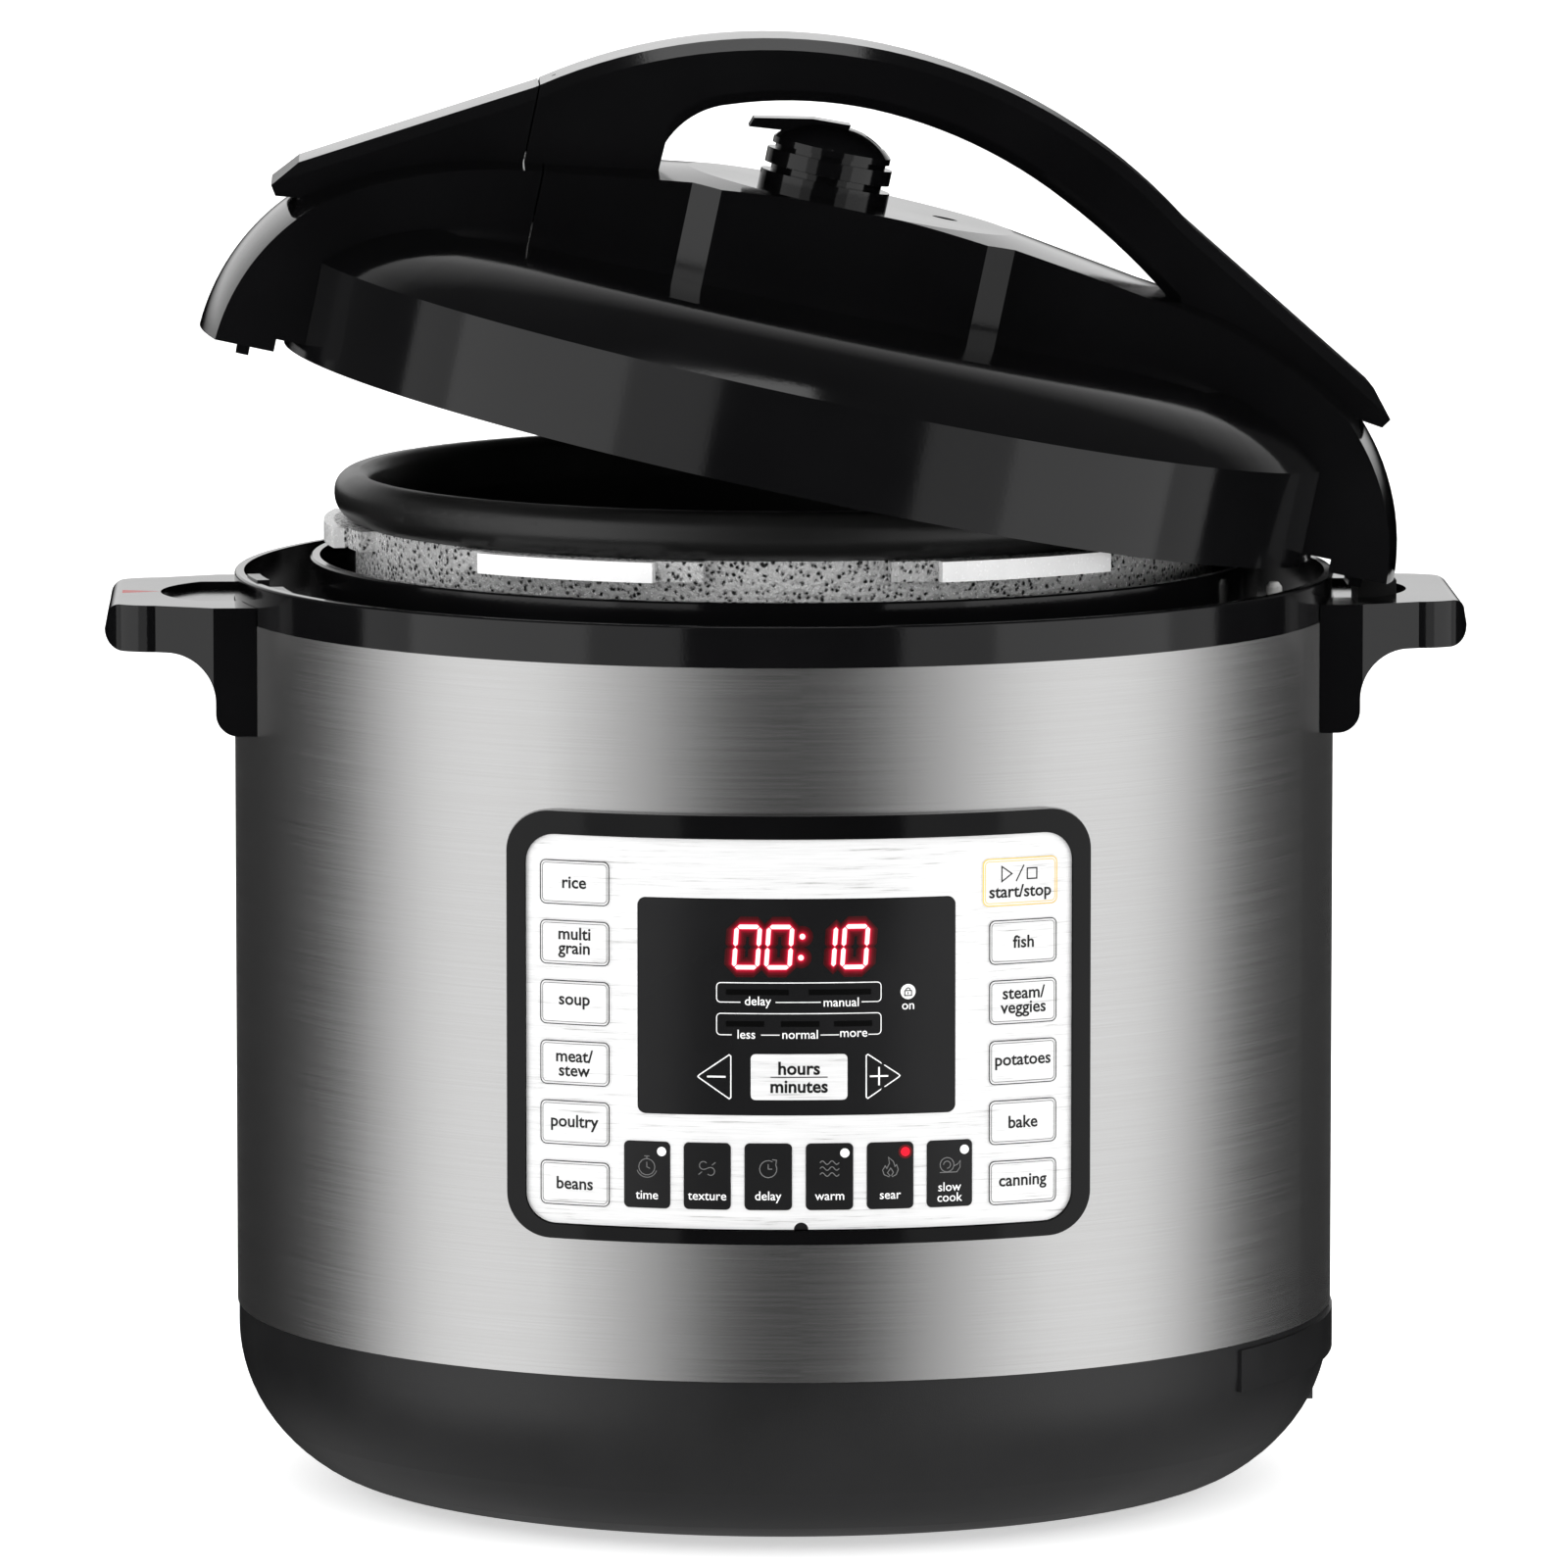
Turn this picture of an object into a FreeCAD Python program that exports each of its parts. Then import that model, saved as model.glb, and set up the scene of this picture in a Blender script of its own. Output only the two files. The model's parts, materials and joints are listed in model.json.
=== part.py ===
import FreeCAD, Part
import math
import os
import re

import Sketcher

# Electric pressure cooker, standing free. Millimetres, +Z up, origin at the middle of its
# footprint on the table, front (control panel) towards -Y. The lid is modelled level in its own
# frame (origin at the middle of its bottom plane) and then propped open on the right handle.

SIZES = {
    # casing
    "foot_height": 3.0, "foot_inner": 82.0, "foot_outside": 96.0, "foot_bevel": 0.8,
    "shell_radius": 172.0, "shell_wall": 0.8, "shell_bottom": 57.0, "shell_top": 274.4,
    "bowl_wall": 2.5, "bowl_shoulder": 50.0, "bowl_inset": 0.5, "lip_height": 8.0,
    "bowl_upper_curve": 48.4, "bowl_middle_curve": 54.6, "bowl_lower_curve": 30.5,
    "fit_gap": 0.1, "running_gap": 0.3,
    "collar_top": 286.9, "collar_wall": 2.9, "collar_floor": 2.6,
    "ring_inner": 145.3, "ring_outer": 148.2, "ring_top": 291.6, "ring_bottom": 270.0,
    # power inlet
    "ledge_low": 42.0, "ledge_high": 55.0, "ledge_angle": 37.0, "ledge_proud": 0.6,
    "inlet_width": 30.0, "inlet_height": 22.0, "inlet_depth": 16.0, "inlet_wall": 2.0,
    "inlet_bottom": 25.0, "inlet_mouth": 166.0, "inlet_boss": 4.0,
    # base fasteners and posts
    "post_radius": 5.5, "post_circle": 112.0, "base_screw_radius": 2.0, "base_screw_head": 3.8,
    "base_screw_length": 22.0, "counterbore": 1.6,
    # heat shield and pressure vessel
    "shield_radius": 147.8, "shield_wall": 0.6, "shield_bottom": 30.0, "shield_hole": 70.0,
    "vessel_radius": 134.0, "vessel_wall": 2.5, "vessel_bottom": 40.0, "vessel_seat": 302.8,
    "flange_low": 296.6, "flange_radius": 144.0, "flange_step_radius": 139.5, "flange_root": 134.5,
    "tooth_half": 12.2, "tooth_step_half": 18.2, "tooth_pitch": 60.0,
    # heater
    "plate_radius": 118.0, "plate_low": 53.0, "plate_high": 65.0, "sensor_hole": 17.0,
    "element_circle": 85.0, "element_radius": 4.5, "element_leg_gap": 28.0,
    "sensor_radius": 14.0, "sensor_cap": 9.0, "spring_wire": 0.7, "spring_radius": 9.0,
    "spring_turns": 4.0,
    # inner pot
    "pot_radius": 129.5, "pot_wall": 1.6, "pot_corner": 16.0, "rim_radius": 140.6,
    "rim_top": 318.0, "rim_curve": 8.6, "rim_bore": 129.8,
    # side handles
    "handle_reach": 212.0, "handle_top": 280.0, "handle_under": 265.5, "handle_half": 50.0,
    "handle_end_half": 34.0, "bracket_reach": 177.3, "bracket_low": 240.0, "bracket_curve": 15.0,
    "recess_reach": 195.0, "recess_half": 28.5, "recess_depth": 2.0, "arrow_depth": 0.5,
    "pad_length": 12.0, "pad_half": 15.0, "pad_x": 185.0, "pad_top": 283.9,
    "handle_screw_radius": 2.0, "handle_screw_height": 256.0, "handle_screw_spread": 26.0,
    # control panel
    "panel_middle": 164.8, "bezel_width": 177.0, "bezel_height": 130.4, "bezel_corner": 13.0,
    "bezel_rim": 5.6, "bezel_proud": 3.2, "bezel_floor": 1.0, "overlay_thick": 0.5,
    "membrane_thick": 0.4, "overlay_rise": -1.35, "window_width": 95.6, "window_height": 65.5,
    "window_rise": 7.1, "window_side": -1.2, "window_corner": 2.5, "window_thick": 1.1, "notch_radius": 2.2,
    "cutout_width": 150.0, "cutout_height": 112.0, "board_thick": 1.6, "board_front": 152.2,
    "board_width": 146.0, "board_height": 108.0, "display_width": 84.0, "display_height": 54.0,
    "display_depth": 13.4, "buzzer_radius": 6.0, "buzzer_height": 4.0,
    # power board in the base
    "power_length": 110.0, "power_width": 72.0, "power_low": 12.0, "relay_length": 29.0,
    "relay_width": 13.0, "relay_height": 15.4, "transformer_length": 34.0,
    "transformer_width": 30.0, "transformer_height": 15.8, "capacitor_radius": 5.0,
    "capacitor_height": 15.0, "standoff_radius": 3.0,
    # condensation cup at the back
    "cup_width": 62.0, "cup_depth": 24.0, "cup_low": 196.0, "cup_high": 262.0, "cup_wall": 1.8,
    "cup_bracket": 3.0, "drain_width": 10.0,
    # small parts in the collar channel
    "sense_radius": 2.5, "sense_top": 287.0, "sense_x": 150.5, "sense_y": -48.0,
    "switch_height": 7.0, "stop_outer": 169.0, "stop_inner": 157.7, "stop_angle": 3.2,
    # lid shell
    "lid_level": 284.0, "lid_angle": 12.0, "pivot_x": 194.0, "pivot_z": 284.0,
    "lid_radius": 164.0, "lid_wall": 2.6, "skirt_height": 30.0, "shoulder_radius": 131.0,
    "shoulder_height": 47.6, "shoulder_curve": 62.0, "disc_height": 48.1, "disc_edge": 46.3,
    "disc_flat": 90.0, "lip_width": 1.4,
    # pressure dome
    "dome_radius": 147.0, "dome_wall": 1.5, "dome_low": 8.3, "dome_roof": 42.0, "dome_corner": 9.0,
    "lid_tooth_inner": 142.0, "lid_tooth_low": 9.0, "lid_tooth_high": 12.2,
    "lid_tooth_half": 10.5, "rack_inner": 118.0, "rack_outer": 128.8, "seal_low": 34.4,
    "lid_screw_circle": 100.0, "lid_screw_radius": 2.0, "lid_screw_head": 4.2,
    # bridge over the lid
    "foot_outer": 190.8, "foot_bore": 172.8, "foot_step": 4.0, "foot_half": 45.0,
    "arm_half": 42.0, "hub_half": 50.0, "hub_reach": 51.0, "hub_facet": 9.0, "hub_top": 80.0, "crown_radius": 52.0,
    "arm_knee": 104.0, "arm_knee_height": 71.5, "arm_bend": 169.7, "arm_bend_height": 46.5,
    "arm_curve": 134.0, "foot_curve": 70.0, "bridge_seam": -97.0, "seam_gap": 0.4,
    "hub_cavity": 42.0, "hub_roof": 3.0, "tab_long": 4.0, "tab_deep": 3.2, "tab_half": 9.0,
    # lifting handle
    "arch_top": 128.5, "arch_shoulder": 95.0, "arch_shoulder_x": 104.0, "arch_curve": 178.2,
    "arch_tip_x": 178.0, "arch_tip_z": 48.5, "arch_half": 21.0, "arch_bevel": 3.5,
    "handle_seam": -103.0, "pin_radius": 2.2,
    # steam release valve and float valve
    "valve_x": -9.0, "valve_base_radius": 20.5, "valve_base_height": 4.0, "valve_neck": 17.5,
    "valve_ring": 19.8, "knob_low": 86.3, "knob_ring_top": 91.0, "knob_neck_top": 92.6,
    "knob_radius": 18.6, "knob_top": 101.5, "lever_reach": 27.0, "lever_thick": 4.0,
    "lever_half": 6.0, "pipe_radius": 5.0, "pipe_bore": 2.6, "pipe_top": 88.0,
    "filter_radius": 13.0, "filter_low": 31.0, "filter_wall": 0.8,
    "float_x": 30.0, "float_radius": 2.7, "float_head": 5.0, "float_top": 79.0, "float_low": 31.0,
}

doc = FreeCAD.newDocument("pressure_cooker")
sheet = doc.addObject("Spreadsheet::Sheet", "sizes")
for row, (alias, number) in enumerate(SIZES.items(), start=1):
    sheet.set(f"A{row}", alias)
    sheet.set(f"B{row}", str(number))
    sheet.setAlias(f"B{row}", alias)
doc.recompute()

NODES = []
ARCS = []
PLANES = {"top": "XY_Plane", "front": "XZ_Plane", "side": "YZ_Plane"}
TURN = {"x": ((0, 1, 0), 90), "-x": ((0, 1, 0), -90), "y": ((1, 0, 0), -90)}


# ---------------------------------------------------------------- formulas and nodes
def bound(formula):
    """The formula with each named size written as a cell of the sheet."""
    return re.sub(r"[a-z][a-z_]*", lambda m: f"sizes.{m[0]}" if m[0] in SIZES else m[0], formula)


def value(formula):
    """The formula's number, in millimetres or degrees."""
    return float(sheet.evalExpression(bound(formula)))


def tie(obj, **formulas):
    for prop, formula in formulas.items():
        obj.setExpression(prop, bound(formula))
    return obj


def move(obj, x="0", y="0", z="0"):
    for axis, formula in zip("xyz", (x, y, z)):
        if formula != "0":
            obj.setExpression(f"Placement.Base.{axis}", bound(formula))
    return obj


def node(name, obj, placement=None):
    """Names a finished sub-part, and places it."""
    obj.Label = name
    if placement is not None:
        obj.Placement = placement
    NODES.append(obj)
    return obj


def lid_placement():
    """Carries the level lid frame to the closed place and opens it about the right handle."""
    pivot = FreeCAD.Vector(value("pivot_x"), 0, value("pivot_z"))
    level = FreeCAD.Placement(FreeCAD.Vector(0, 0, value("lid_level")), FreeCAD.Rotation())
    opening = FreeCAD.Rotation(FreeCAD.Vector(0, 1, 0), value("lid_angle"))
    return FreeCAD.Placement(FreeCAD.Vector(0, 0, 0), opening, pivot).multiply(level)


# ---------------------------------------------------------------- shapes
def cylinder(radius, height, x="0", y="0", z="0", along="z"):
    obj = tie(doc.addObject("Part::Cylinder", "cylinder"), Radius=radius, Height=height)
    if along in TURN:
        axis, angle = TURN[along]
        obj.Placement.Rotation = FreeCAD.Rotation(FreeCAD.Vector(*axis), angle)
    return move(obj, x, y, z)


def box(length, width, height, x="0", y="0", z="0"):
    """A box whose bottom face is centred on x, y."""
    obj = tie(doc.addObject("Part::Box", "box"), Length=length, Width=width, Height=height)
    return move(obj, f"{x} - ({length}) / 2", f"{y} - ({width}) / 2", z)


def group(kind, shapes):
    obj = doc.addObject(kind, kind.split("::")[1].lower())
    obj.Shapes = list(shapes)
    return obj


def fuse(*shapes):
    return group("Part::MultiFuse", shapes)


def common(*shapes):
    return group("Part::MultiCommon", shapes)


def compound(shapes):
    obj = doc.addObject("Part::Compound", "compound")
    obj.Links = list(shapes)
    return obj


def cut(base, *tools):
    obj = doc.addObject("Part::Cut", "cut")
    obj.Base = base
    obj.Tool = tools[0] if len(tools) == 1 else fuse(*tools)
    return obj


def tube(outer, inner, height, x="0", y="0", z="0"):
    core = cylinder(inner, f"({height}) + 2", x, y, f"({z}) - 1")
    return cut(cylinder(outer, height, x, y, z), core)


def arc_through(start, end, radius):
    """The short arc between two points; a positive radius turns left, a negative one right.

    A sketch holds every arc counter-clockwise, so one that turns right is drawn from its end.
    """
    chord = end - start
    middle = (start + end) * 0.5
    left = FreeCAD.Vector(-chord.y, chord.x, 0).normalize()
    rise = abs(radius) - math.sqrt(radius ** 2 - (chord.Length / 2) ** 2)
    if radius < 0:
        return Part.Arc(end, middle + left * rise, start)
    return Part.Arc(start, middle - left * rise, end)


def add_outline(sketch, outline):
    """Draws a closed outline of (x, y) points; a third value makes the next edge an arc."""
    points = [FreeCAD.Vector(value(corner[0]), value(corner[1]), 0) for corner in outline]
    ends = []
    pins = []
    for index, corner in enumerate(outline):
        start = points[index]
        end = points[(index + 1) % len(points)]
        if len(corner) == 3:
            edge = arc_through(start, end, value(corner[2]))
        else:
            edge = Part.LineSegment(start, end)
        geo = sketch.addGeometry(edge, False)
        forward = (sketch.Geometry[geo].StartPoint - start).Length < 1e-6
        ends.append((geo, 1, 2) if forward else (geo, 2, 1))
        pins.append((("DistanceX", -1, 1, geo, ends[-1][1]), corner[0]))
        pins.append((("DistanceY", -1, 1, geo, ends[-1][1]), corner[1]))
        if len(corner) == 3:
            pins.append((("Radius", geo), corner[2].lstrip("-")))
            ARCS.append((sketch, geo, edge.value((edge.FirstParameter + edge.LastParameter) / 2)))
    joins = [
        Sketcher.Constraint("Coincident", ends[index - 1][0], ends[index - 1][2], geo, first)
        for index, (geo, first, _) in enumerate(ends)
    ]
    sketch.addConstraint(joins)
    sizes = [Sketcher.Constraint(*kind, value(formula)) for kind, formula in pins]
    for index, (_, formula) in zip(sketch.addConstraint(sizes), pins):
        sketch.setExpression(f"Constraints[{index}]", bound(formula))


def draw(body, plane, outlines, offset="0"):
    sketch = body.newObject("Sketcher::SketchObject", "outline")
    role = PLANES[plane]
    origin_plane = [item for item in body.Origin.OriginFeatures if item.Role == role][0]
    sketch.AttachmentSupport = (origin_plane, [""])
    sketch.MapMode = "FlatFace"
    if offset != "0":
        sketch.setExpression("AttachmentOffset.Base.z", bound(offset))
    for outline in outlines:
        add_outline(sketch, outline)
    return sketch


def turned(*outlines):
    """A body turned about Z from outlines of (radius, height) points."""
    body = doc.addObject("PartDesign::Body", "turned")
    sketch = draw(body, "front", outlines)
    turn = body.newObject("PartDesign::Revolution", "turn")
    turn.Profile = sketch
    turn.ReferenceAxis = (sketch, ["V_Axis"])
    turn.Angle = 360
    return body


def padded(plane, outlines, length, offset="0", symmetric=False):
    """A body padded from outlines on one of the origin planes."""
    body = doc.addObject("PartDesign::Body", "padded")
    sketch = draw(body, plane, outlines, offset)
    pad = tie(body.newObject("PartDesign::Pad", "pad"), Length=length)
    pad.Profile = sketch
    pad.SideType = "Symmetric" if symmetric else "One side"
    return body


def rounded(width, height, corner, middle="0", x="0"):
    """A rounded rectangle's outline about (x, middle)."""
    w, h, r = f"({width}) / 2", f"({height}) / 2", f"({corner})"
    outline = []
    for sx, sy, dx, dy in [(1, -1, -1, 0), (1, -1, 0, 1), (1, 1, 0, -1), (1, 1, -1, 0),
                           (-1, 1, 1, 0), (-1, 1, 0, -1), (-1, -1, 0, 1), (-1, -1, 1, 0)]:
        px = f"({x}) + {sx} * {w} + {dx} * {r}"
        py = f"({middle}) + {sy} * {h} + {dy} * {r}"
        outline.append((px, py, r) if len(outline) % 2 == 0 else (px, py))
    return outline


def around(shape_at, angles):
    """One shape for each angle about Z; shape_at makes it at angle zero, on +X."""
    shapes = []
    for angle in angles:
        spun = compound([shape_at()])
        spun.Placement.Rotation = FreeCAD.Rotation(FreeCAD.Vector(0, 0, 1), angle)
        shapes.append(spun)
    return shapes


def sector(outer, inner, height, z, half_angle, azimuth):
    """A piece of a ring; azimuth 0 is the front (-Y) and 90 the right (+X)."""
    wedge = tie(doc.addObject("Part::Cylinder", "wedge"), Radius=outer, Height=height)
    tie(wedge, Angle=f"2 * ({half_angle})")
    wedge.setExpression("Placement.Rotation.Angle", bound(f"{azimuth} - 90 - ({half_angle})"))
    move(wedge, z=z)
    return cut(wedge, cylinder(inner, f"({height}) + 2", z=f"({z}) - 1"))


# ---------------------------------------------------------------- casing
def bowl_outline(inward):
    """Half section of the rounded base, moved inward by a wall."""
    top = f"shell_radius - bowl_inset - {inward}"
    return [
        ("0", f"foot_height + {inward}"),
        ("shell_radius - 40.8", f"foot_height + {inward}", f"bowl_lower_curve - {inward}"),
        (f"shell_radius - 24.2 - 0.543 * {inward}", f"foot_height + 4.9 + 0.84 * {inward}",
         f"bowl_middle_curve - {inward}"),
        (f"shell_radius - 10.3 - 0.798 * {inward}", f"foot_height + 17.8 + 0.603 * {inward}",
         f"bowl_upper_curve - {inward}"),
        (top, "bowl_shoulder"),
    ]


def make_bottom_cover():
    outer = bowl_outline("0")
    outer += [
        ("shell_radius - bowl_inset", "shell_bottom"),
        ("shell_radius - shell_wall - fit_gap", "shell_bottom"),
        ("shell_radius - shell_wall - fit_gap", "shell_bottom + lip_height"),
        ("0", "shell_bottom + lip_height"),
    ]
    inner = bowl_outline("bowl_wall")
    inner[-1] = ("shell_radius - bowl_inset - bowl_wall", "bowl_shoulder")
    inner += [
        ("shell_radius - bowl_inset - bowl_wall", "shell_bottom + lip_height + 1"),
        ("0", "shell_bottom + lip_height + 1"),
    ]
    ledge = sector("shell_radius + ledge_proud", "shell_radius - 6", "ledge_high - ledge_low",
                   "ledge_low", "ledge_angle", "90")
    boss_back = "inlet_mouth - inlet_depth - 1"
    boss_length = f"shell_radius + 2 - ({boss_back})"
    boss = box(boss_length, "inlet_width + 2 * inlet_boss", "inlet_height + 2 * inlet_boss",
               x=f"{boss_back} + ({boss_length}) / 2", z="inlet_bottom - inlet_boss")
    boss_in_bowl = common(boss, turned(outer))
    posts = [
        cylinder("post_radius", "shield_bottom - foot_height - 1", f"post_circle * cos(45 + 90 * {k})",
                 f"post_circle * sin(45 + 90 * {k})", "foot_height + 1") for k in range(4)
    ]
    skin = cut(turned(outer), turned(inner))
    screw_ways = []
    for k in range(4):
        spot = (f"post_circle * cos(45 + 90 * {k})", f"post_circle * sin(45 + 90 * {k})")
        screw_ways.append(cylinder("base_screw_radius + fit_gap", "base_screw_length + 3", *spot, "0"))
        screw_ways.append(cylinder("base_screw_head + fit_gap", "foot_height + counterbore", *spot, "0"))
    inlet_way = box("inlet_depth + 20", "inlet_width + 2 * fit_gap", "inlet_height + 2 * fit_gap",
                    x="inlet_mouth - inlet_depth / 2 + 6", z="inlet_bottom - fit_gap")
    board_posts = [
        cylinder("standoff_radius", "power_low - foot_height - 1", f"{sx} * (power_length / 2 - 6)",
                 f"{sy} * (power_width / 2 - 6)", "foot_height + 1")
        for sx in (-1, 1) for sy in (-1, 1)
    ]
    solid = fuse(skin, ledge, boss_in_bowl, *posts, *board_posts)
    node("bottom_cover", cut(solid, inlet_way, *screw_ways))


def make_feet_and_screws():
    node("foot_ring", turned([
        ("foot_inner + foot_bevel", "0"),
        ("foot_outside - foot_bevel", "0"),
        ("foot_outside", "foot_bevel"),
        ("foot_outside", "foot_height"),
        ("foot_inner", "foot_height"),
        ("foot_inner", "foot_bevel"),
    ]))

    def base_screw():
        head = cylinder("base_screw_head", "counterbore - 0.3", "post_circle", z="foot_height + 0.3")
        shank = cylinder("base_screw_radius", "base_screw_length - counterbore", "post_circle",
                         z="foot_height + counterbore")
        socket = cylinder("1.3", "1", "post_circle", z="foot_height")
        return cut(fuse(head, shank), socket)

    node("base_screws", compound(around(base_screw, (45, 135, 225, 315))))


def make_shell():
    sleeve = tube("shell_radius", "shell_radius - shell_wall", "shell_top - shell_bottom",
                  z="shell_bottom")
    window = padded("front", [rounded("cutout_width", "cutout_height", "6", "panel_middle")],
                    "shell_radius + 10")
    screws = []
    for side in (-1, 1):
        for spread in (-1, 1):
            screws.append(cylinder("handle_screw_radius + 0.2", "30", f"{side} * (shell_radius - 9) - 15",
                                   f"{spread} * handle_screw_spread", "handle_screw_height", "x"))
    node("body_shell", cut(sleeve, window, *screws))


def make_collar():
    floor_top = "shell_top + collar_floor"
    lip = "shell_radius - shell_wall - fit_gap"
    rounding = "0.8"
    profile = turned([
        ("ring_inner", "ring_bottom"),
        ("ring_outer", "ring_bottom"),
        ("ring_outer", "shell_top"),
        (f"{lip} - 2.6", "shell_top"),
        (f"{lip} - 2.6", "shell_top - 8"),
        (lip, "shell_top - 8"),
        (lip, "shell_top"),
        ("shell_radius - fit_gap", "shell_top"),
        ("shell_radius - fit_gap", f"collar_top - {rounding}", rounding),
        (f"shell_radius - fit_gap - {rounding}", "collar_top"),
        ("shell_radius - fit_gap - collar_wall", "collar_top"),
        ("shell_radius - fit_gap - collar_wall", floor_top),
        ("ring_outer", floor_top),
        ("ring_outer", "ring_top - 0.6"),
        ("ring_outer - 0.6", "ring_top"),
        ("ring_inner", "ring_top"),
    ])
    sense_way = cylinder("sense_radius + running_gap", "30", "sense_x", "sense_y", "shell_top - 10")
    drain = box("drain_width", "30", "3.4", y="shell_radius", z=floor_top)
    node("top_collar", cut(profile, sense_way, drain))


def make_channel_parts():
    """The lid stop, and the spring-backed pin that feels the lid, in the collar's channel."""
    floor_top = "shell_top + collar_floor"
    low = sector("stop_outer - fit_gap", "stop_inner", f"lid_level - 0.7 - ({floor_top})", floor_top,
                 "stop_angle", "-80")
    high = sector("stop_outer - fit_gap", "stop_outer - 4", f"287.5 - ({floor_top})", floor_top,
                  "stop_angle", "-80")
    node("lid_stop", fuse(low, high))
    stem = cylinder("sense_radius", "sense_top - 1.5 - (shell_top - 8)", "sense_x", "sense_y",
                    "shell_top - 8")
    tip = tie(doc.addObject("Part::Cone", "tip"), Radius1="sense_radius", Radius2="1.4", Height="1.5")
    move(tip, "sense_x", "sense_y", "sense_top - 1.5")
    collar = cylinder("sense_radius + 1.6", "1.2", "sense_x", "sense_y", "shell_top - 8")
    node("lid_sense_pin", fuse(stem, tip, collar))
    case = box("20", "10", "switch_height", "sense_x + 1.5", "sense_y", "shell_top - 12 - switch_height")
    plunger_well = cylinder("1.6", "3", "sense_x", "sense_y", "shell_top - 14")
    arm = box("2.4", "10", "12", "sense_x + 6", "sense_y", "shell_top - 12")
    node("lid_switch", cut(fuse(case, arm), plunger_well))


# ---------------------------------------------------------------- side handles
def handle_shape():
    """The right handle: a tapered grip plate on a bracket that hugs the casing."""
    root = "shell_radius - 14"
    section = [
        (root, "bracket_low"),
        ("bracket_reach - 7", "bracket_low", "7"),
        ("bracket_reach", "bracket_low + 7"),
        ("bracket_reach", "handle_under - bracket_curve", "-bracket_curve"),
        ("bracket_reach + bracket_curve", "handle_under"),
        ("handle_reach - 6", "handle_under", "6"),
        ("handle_reach", "handle_under + 6"),
        ("handle_reach - 1", "handle_top - 4", "4"),
        ("handle_reach - 5", "handle_top"),
        (root, "handle_top"),
    ]
    side = padded("front", [section], "2 * handle_half + 10", symmetric=True)
    plan = padded("top", [[
        (root, "-handle_half"),
        ("shell_radius + 6", "-handle_half"),
        ("handle_reach - 16", "-handle_end_half - 8", "16"),
        ("handle_reach", "-handle_end_half + 10", "120"),
        ("handle_reach", "handle_end_half - 10", "16"),
        ("handle_reach - 16", "handle_end_half + 8"),
        ("shell_radius + 6", "handle_half"),
        (root, "handle_half"),
    ]], "60", "handle_top - 50")
    body = common(side, plan)
    hug = cylinder("shell_radius + fit_gap", "120", z="handle_top - 80")
    recess_edge = common(
        cylinder("recess_half + 11", "10", "recess_reach - recess_half - 11", z="handle_top - recess_depth"),
        box("60", "2 * recess_half", "10", "recess_reach - 30", z="handle_top - recess_depth"))
    ways = [
        cylinder("handle_screw_radius + fit_gap", "12", "shell_radius - 8",
                 f"{spread} * handle_screw_spread", "handle_screw_height", "x")
        for spread in (-1, 1)
    ]
    return cut(body, hug, recess_edge, *ways)


def make_side_handles():
    half_turn = FreeCAD.Placement(FreeCAD.Vector(), FreeCAD.Rotation(FreeCAD.Vector(0, 0, 1), 180))
    node("right_handle", handle_shape())
    arrow = [("7", "0"), ("-5", "4.6"), ("-5", "-4.6")]
    arrow = [(f"shell_radius + 30 + ({x}) * -1", y) for x, y in arrow]
    pocket = padded("top", [arrow], "arrow_depth + 1", "handle_top - arrow_depth")
    node("left_handle", cut(handle_shape(), pocket), half_turn)
    node("handle_arrow", padded("top", [arrow], "arrow_depth", "handle_top - arrow_depth"), half_turn)
    recess_floor = "handle_top - recess_depth"
    node("rest_pad", box("pad_length", "2 * pad_half", f"pad_top - ({recess_floor})", "pad_x",
                         z=recess_floor))
    screws = []
    for turn in (0, 180):
        for spread in (-1, 1):
            head = cylinder("handle_screw_radius + 1.8", "1.6",
                            "sqrt((shell_radius - shell_wall)^2 - (handle_screw_spread + 4)^2) - 1.8",
                            f"{spread} * handle_screw_spread", "handle_screw_height", "x")
            shank = cylinder("handle_screw_radius", "8",
                             "sqrt((shell_radius - shell_wall)^2 - (handle_screw_spread + 4)^2) - 1",
                             f"{spread} * handle_screw_spread", "handle_screw_height", "x")
            screw = fuse(head, shank)
            if turn:
                screw.Placement = half_turn
            screws.append(screw)
    node("handle_screws", compound(screws))


# ---------------------------------------------------------------- control panel
def curved_plate(inner, outer, width, height, corner, middle, holes=()):
    """A plate bent to the casing's round, with a rounded outline seen from the front."""
    sleeve = tube(outer, inner, f"({height}) + 4", z=f"({middle}) - ({height}) / 2 - 2")
    outlines = [rounded(width, height, corner, middle)]
    prism = padded("front", outlines + list(holes), "shell_radius + 20")
    return common(sleeve, prism)


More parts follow.
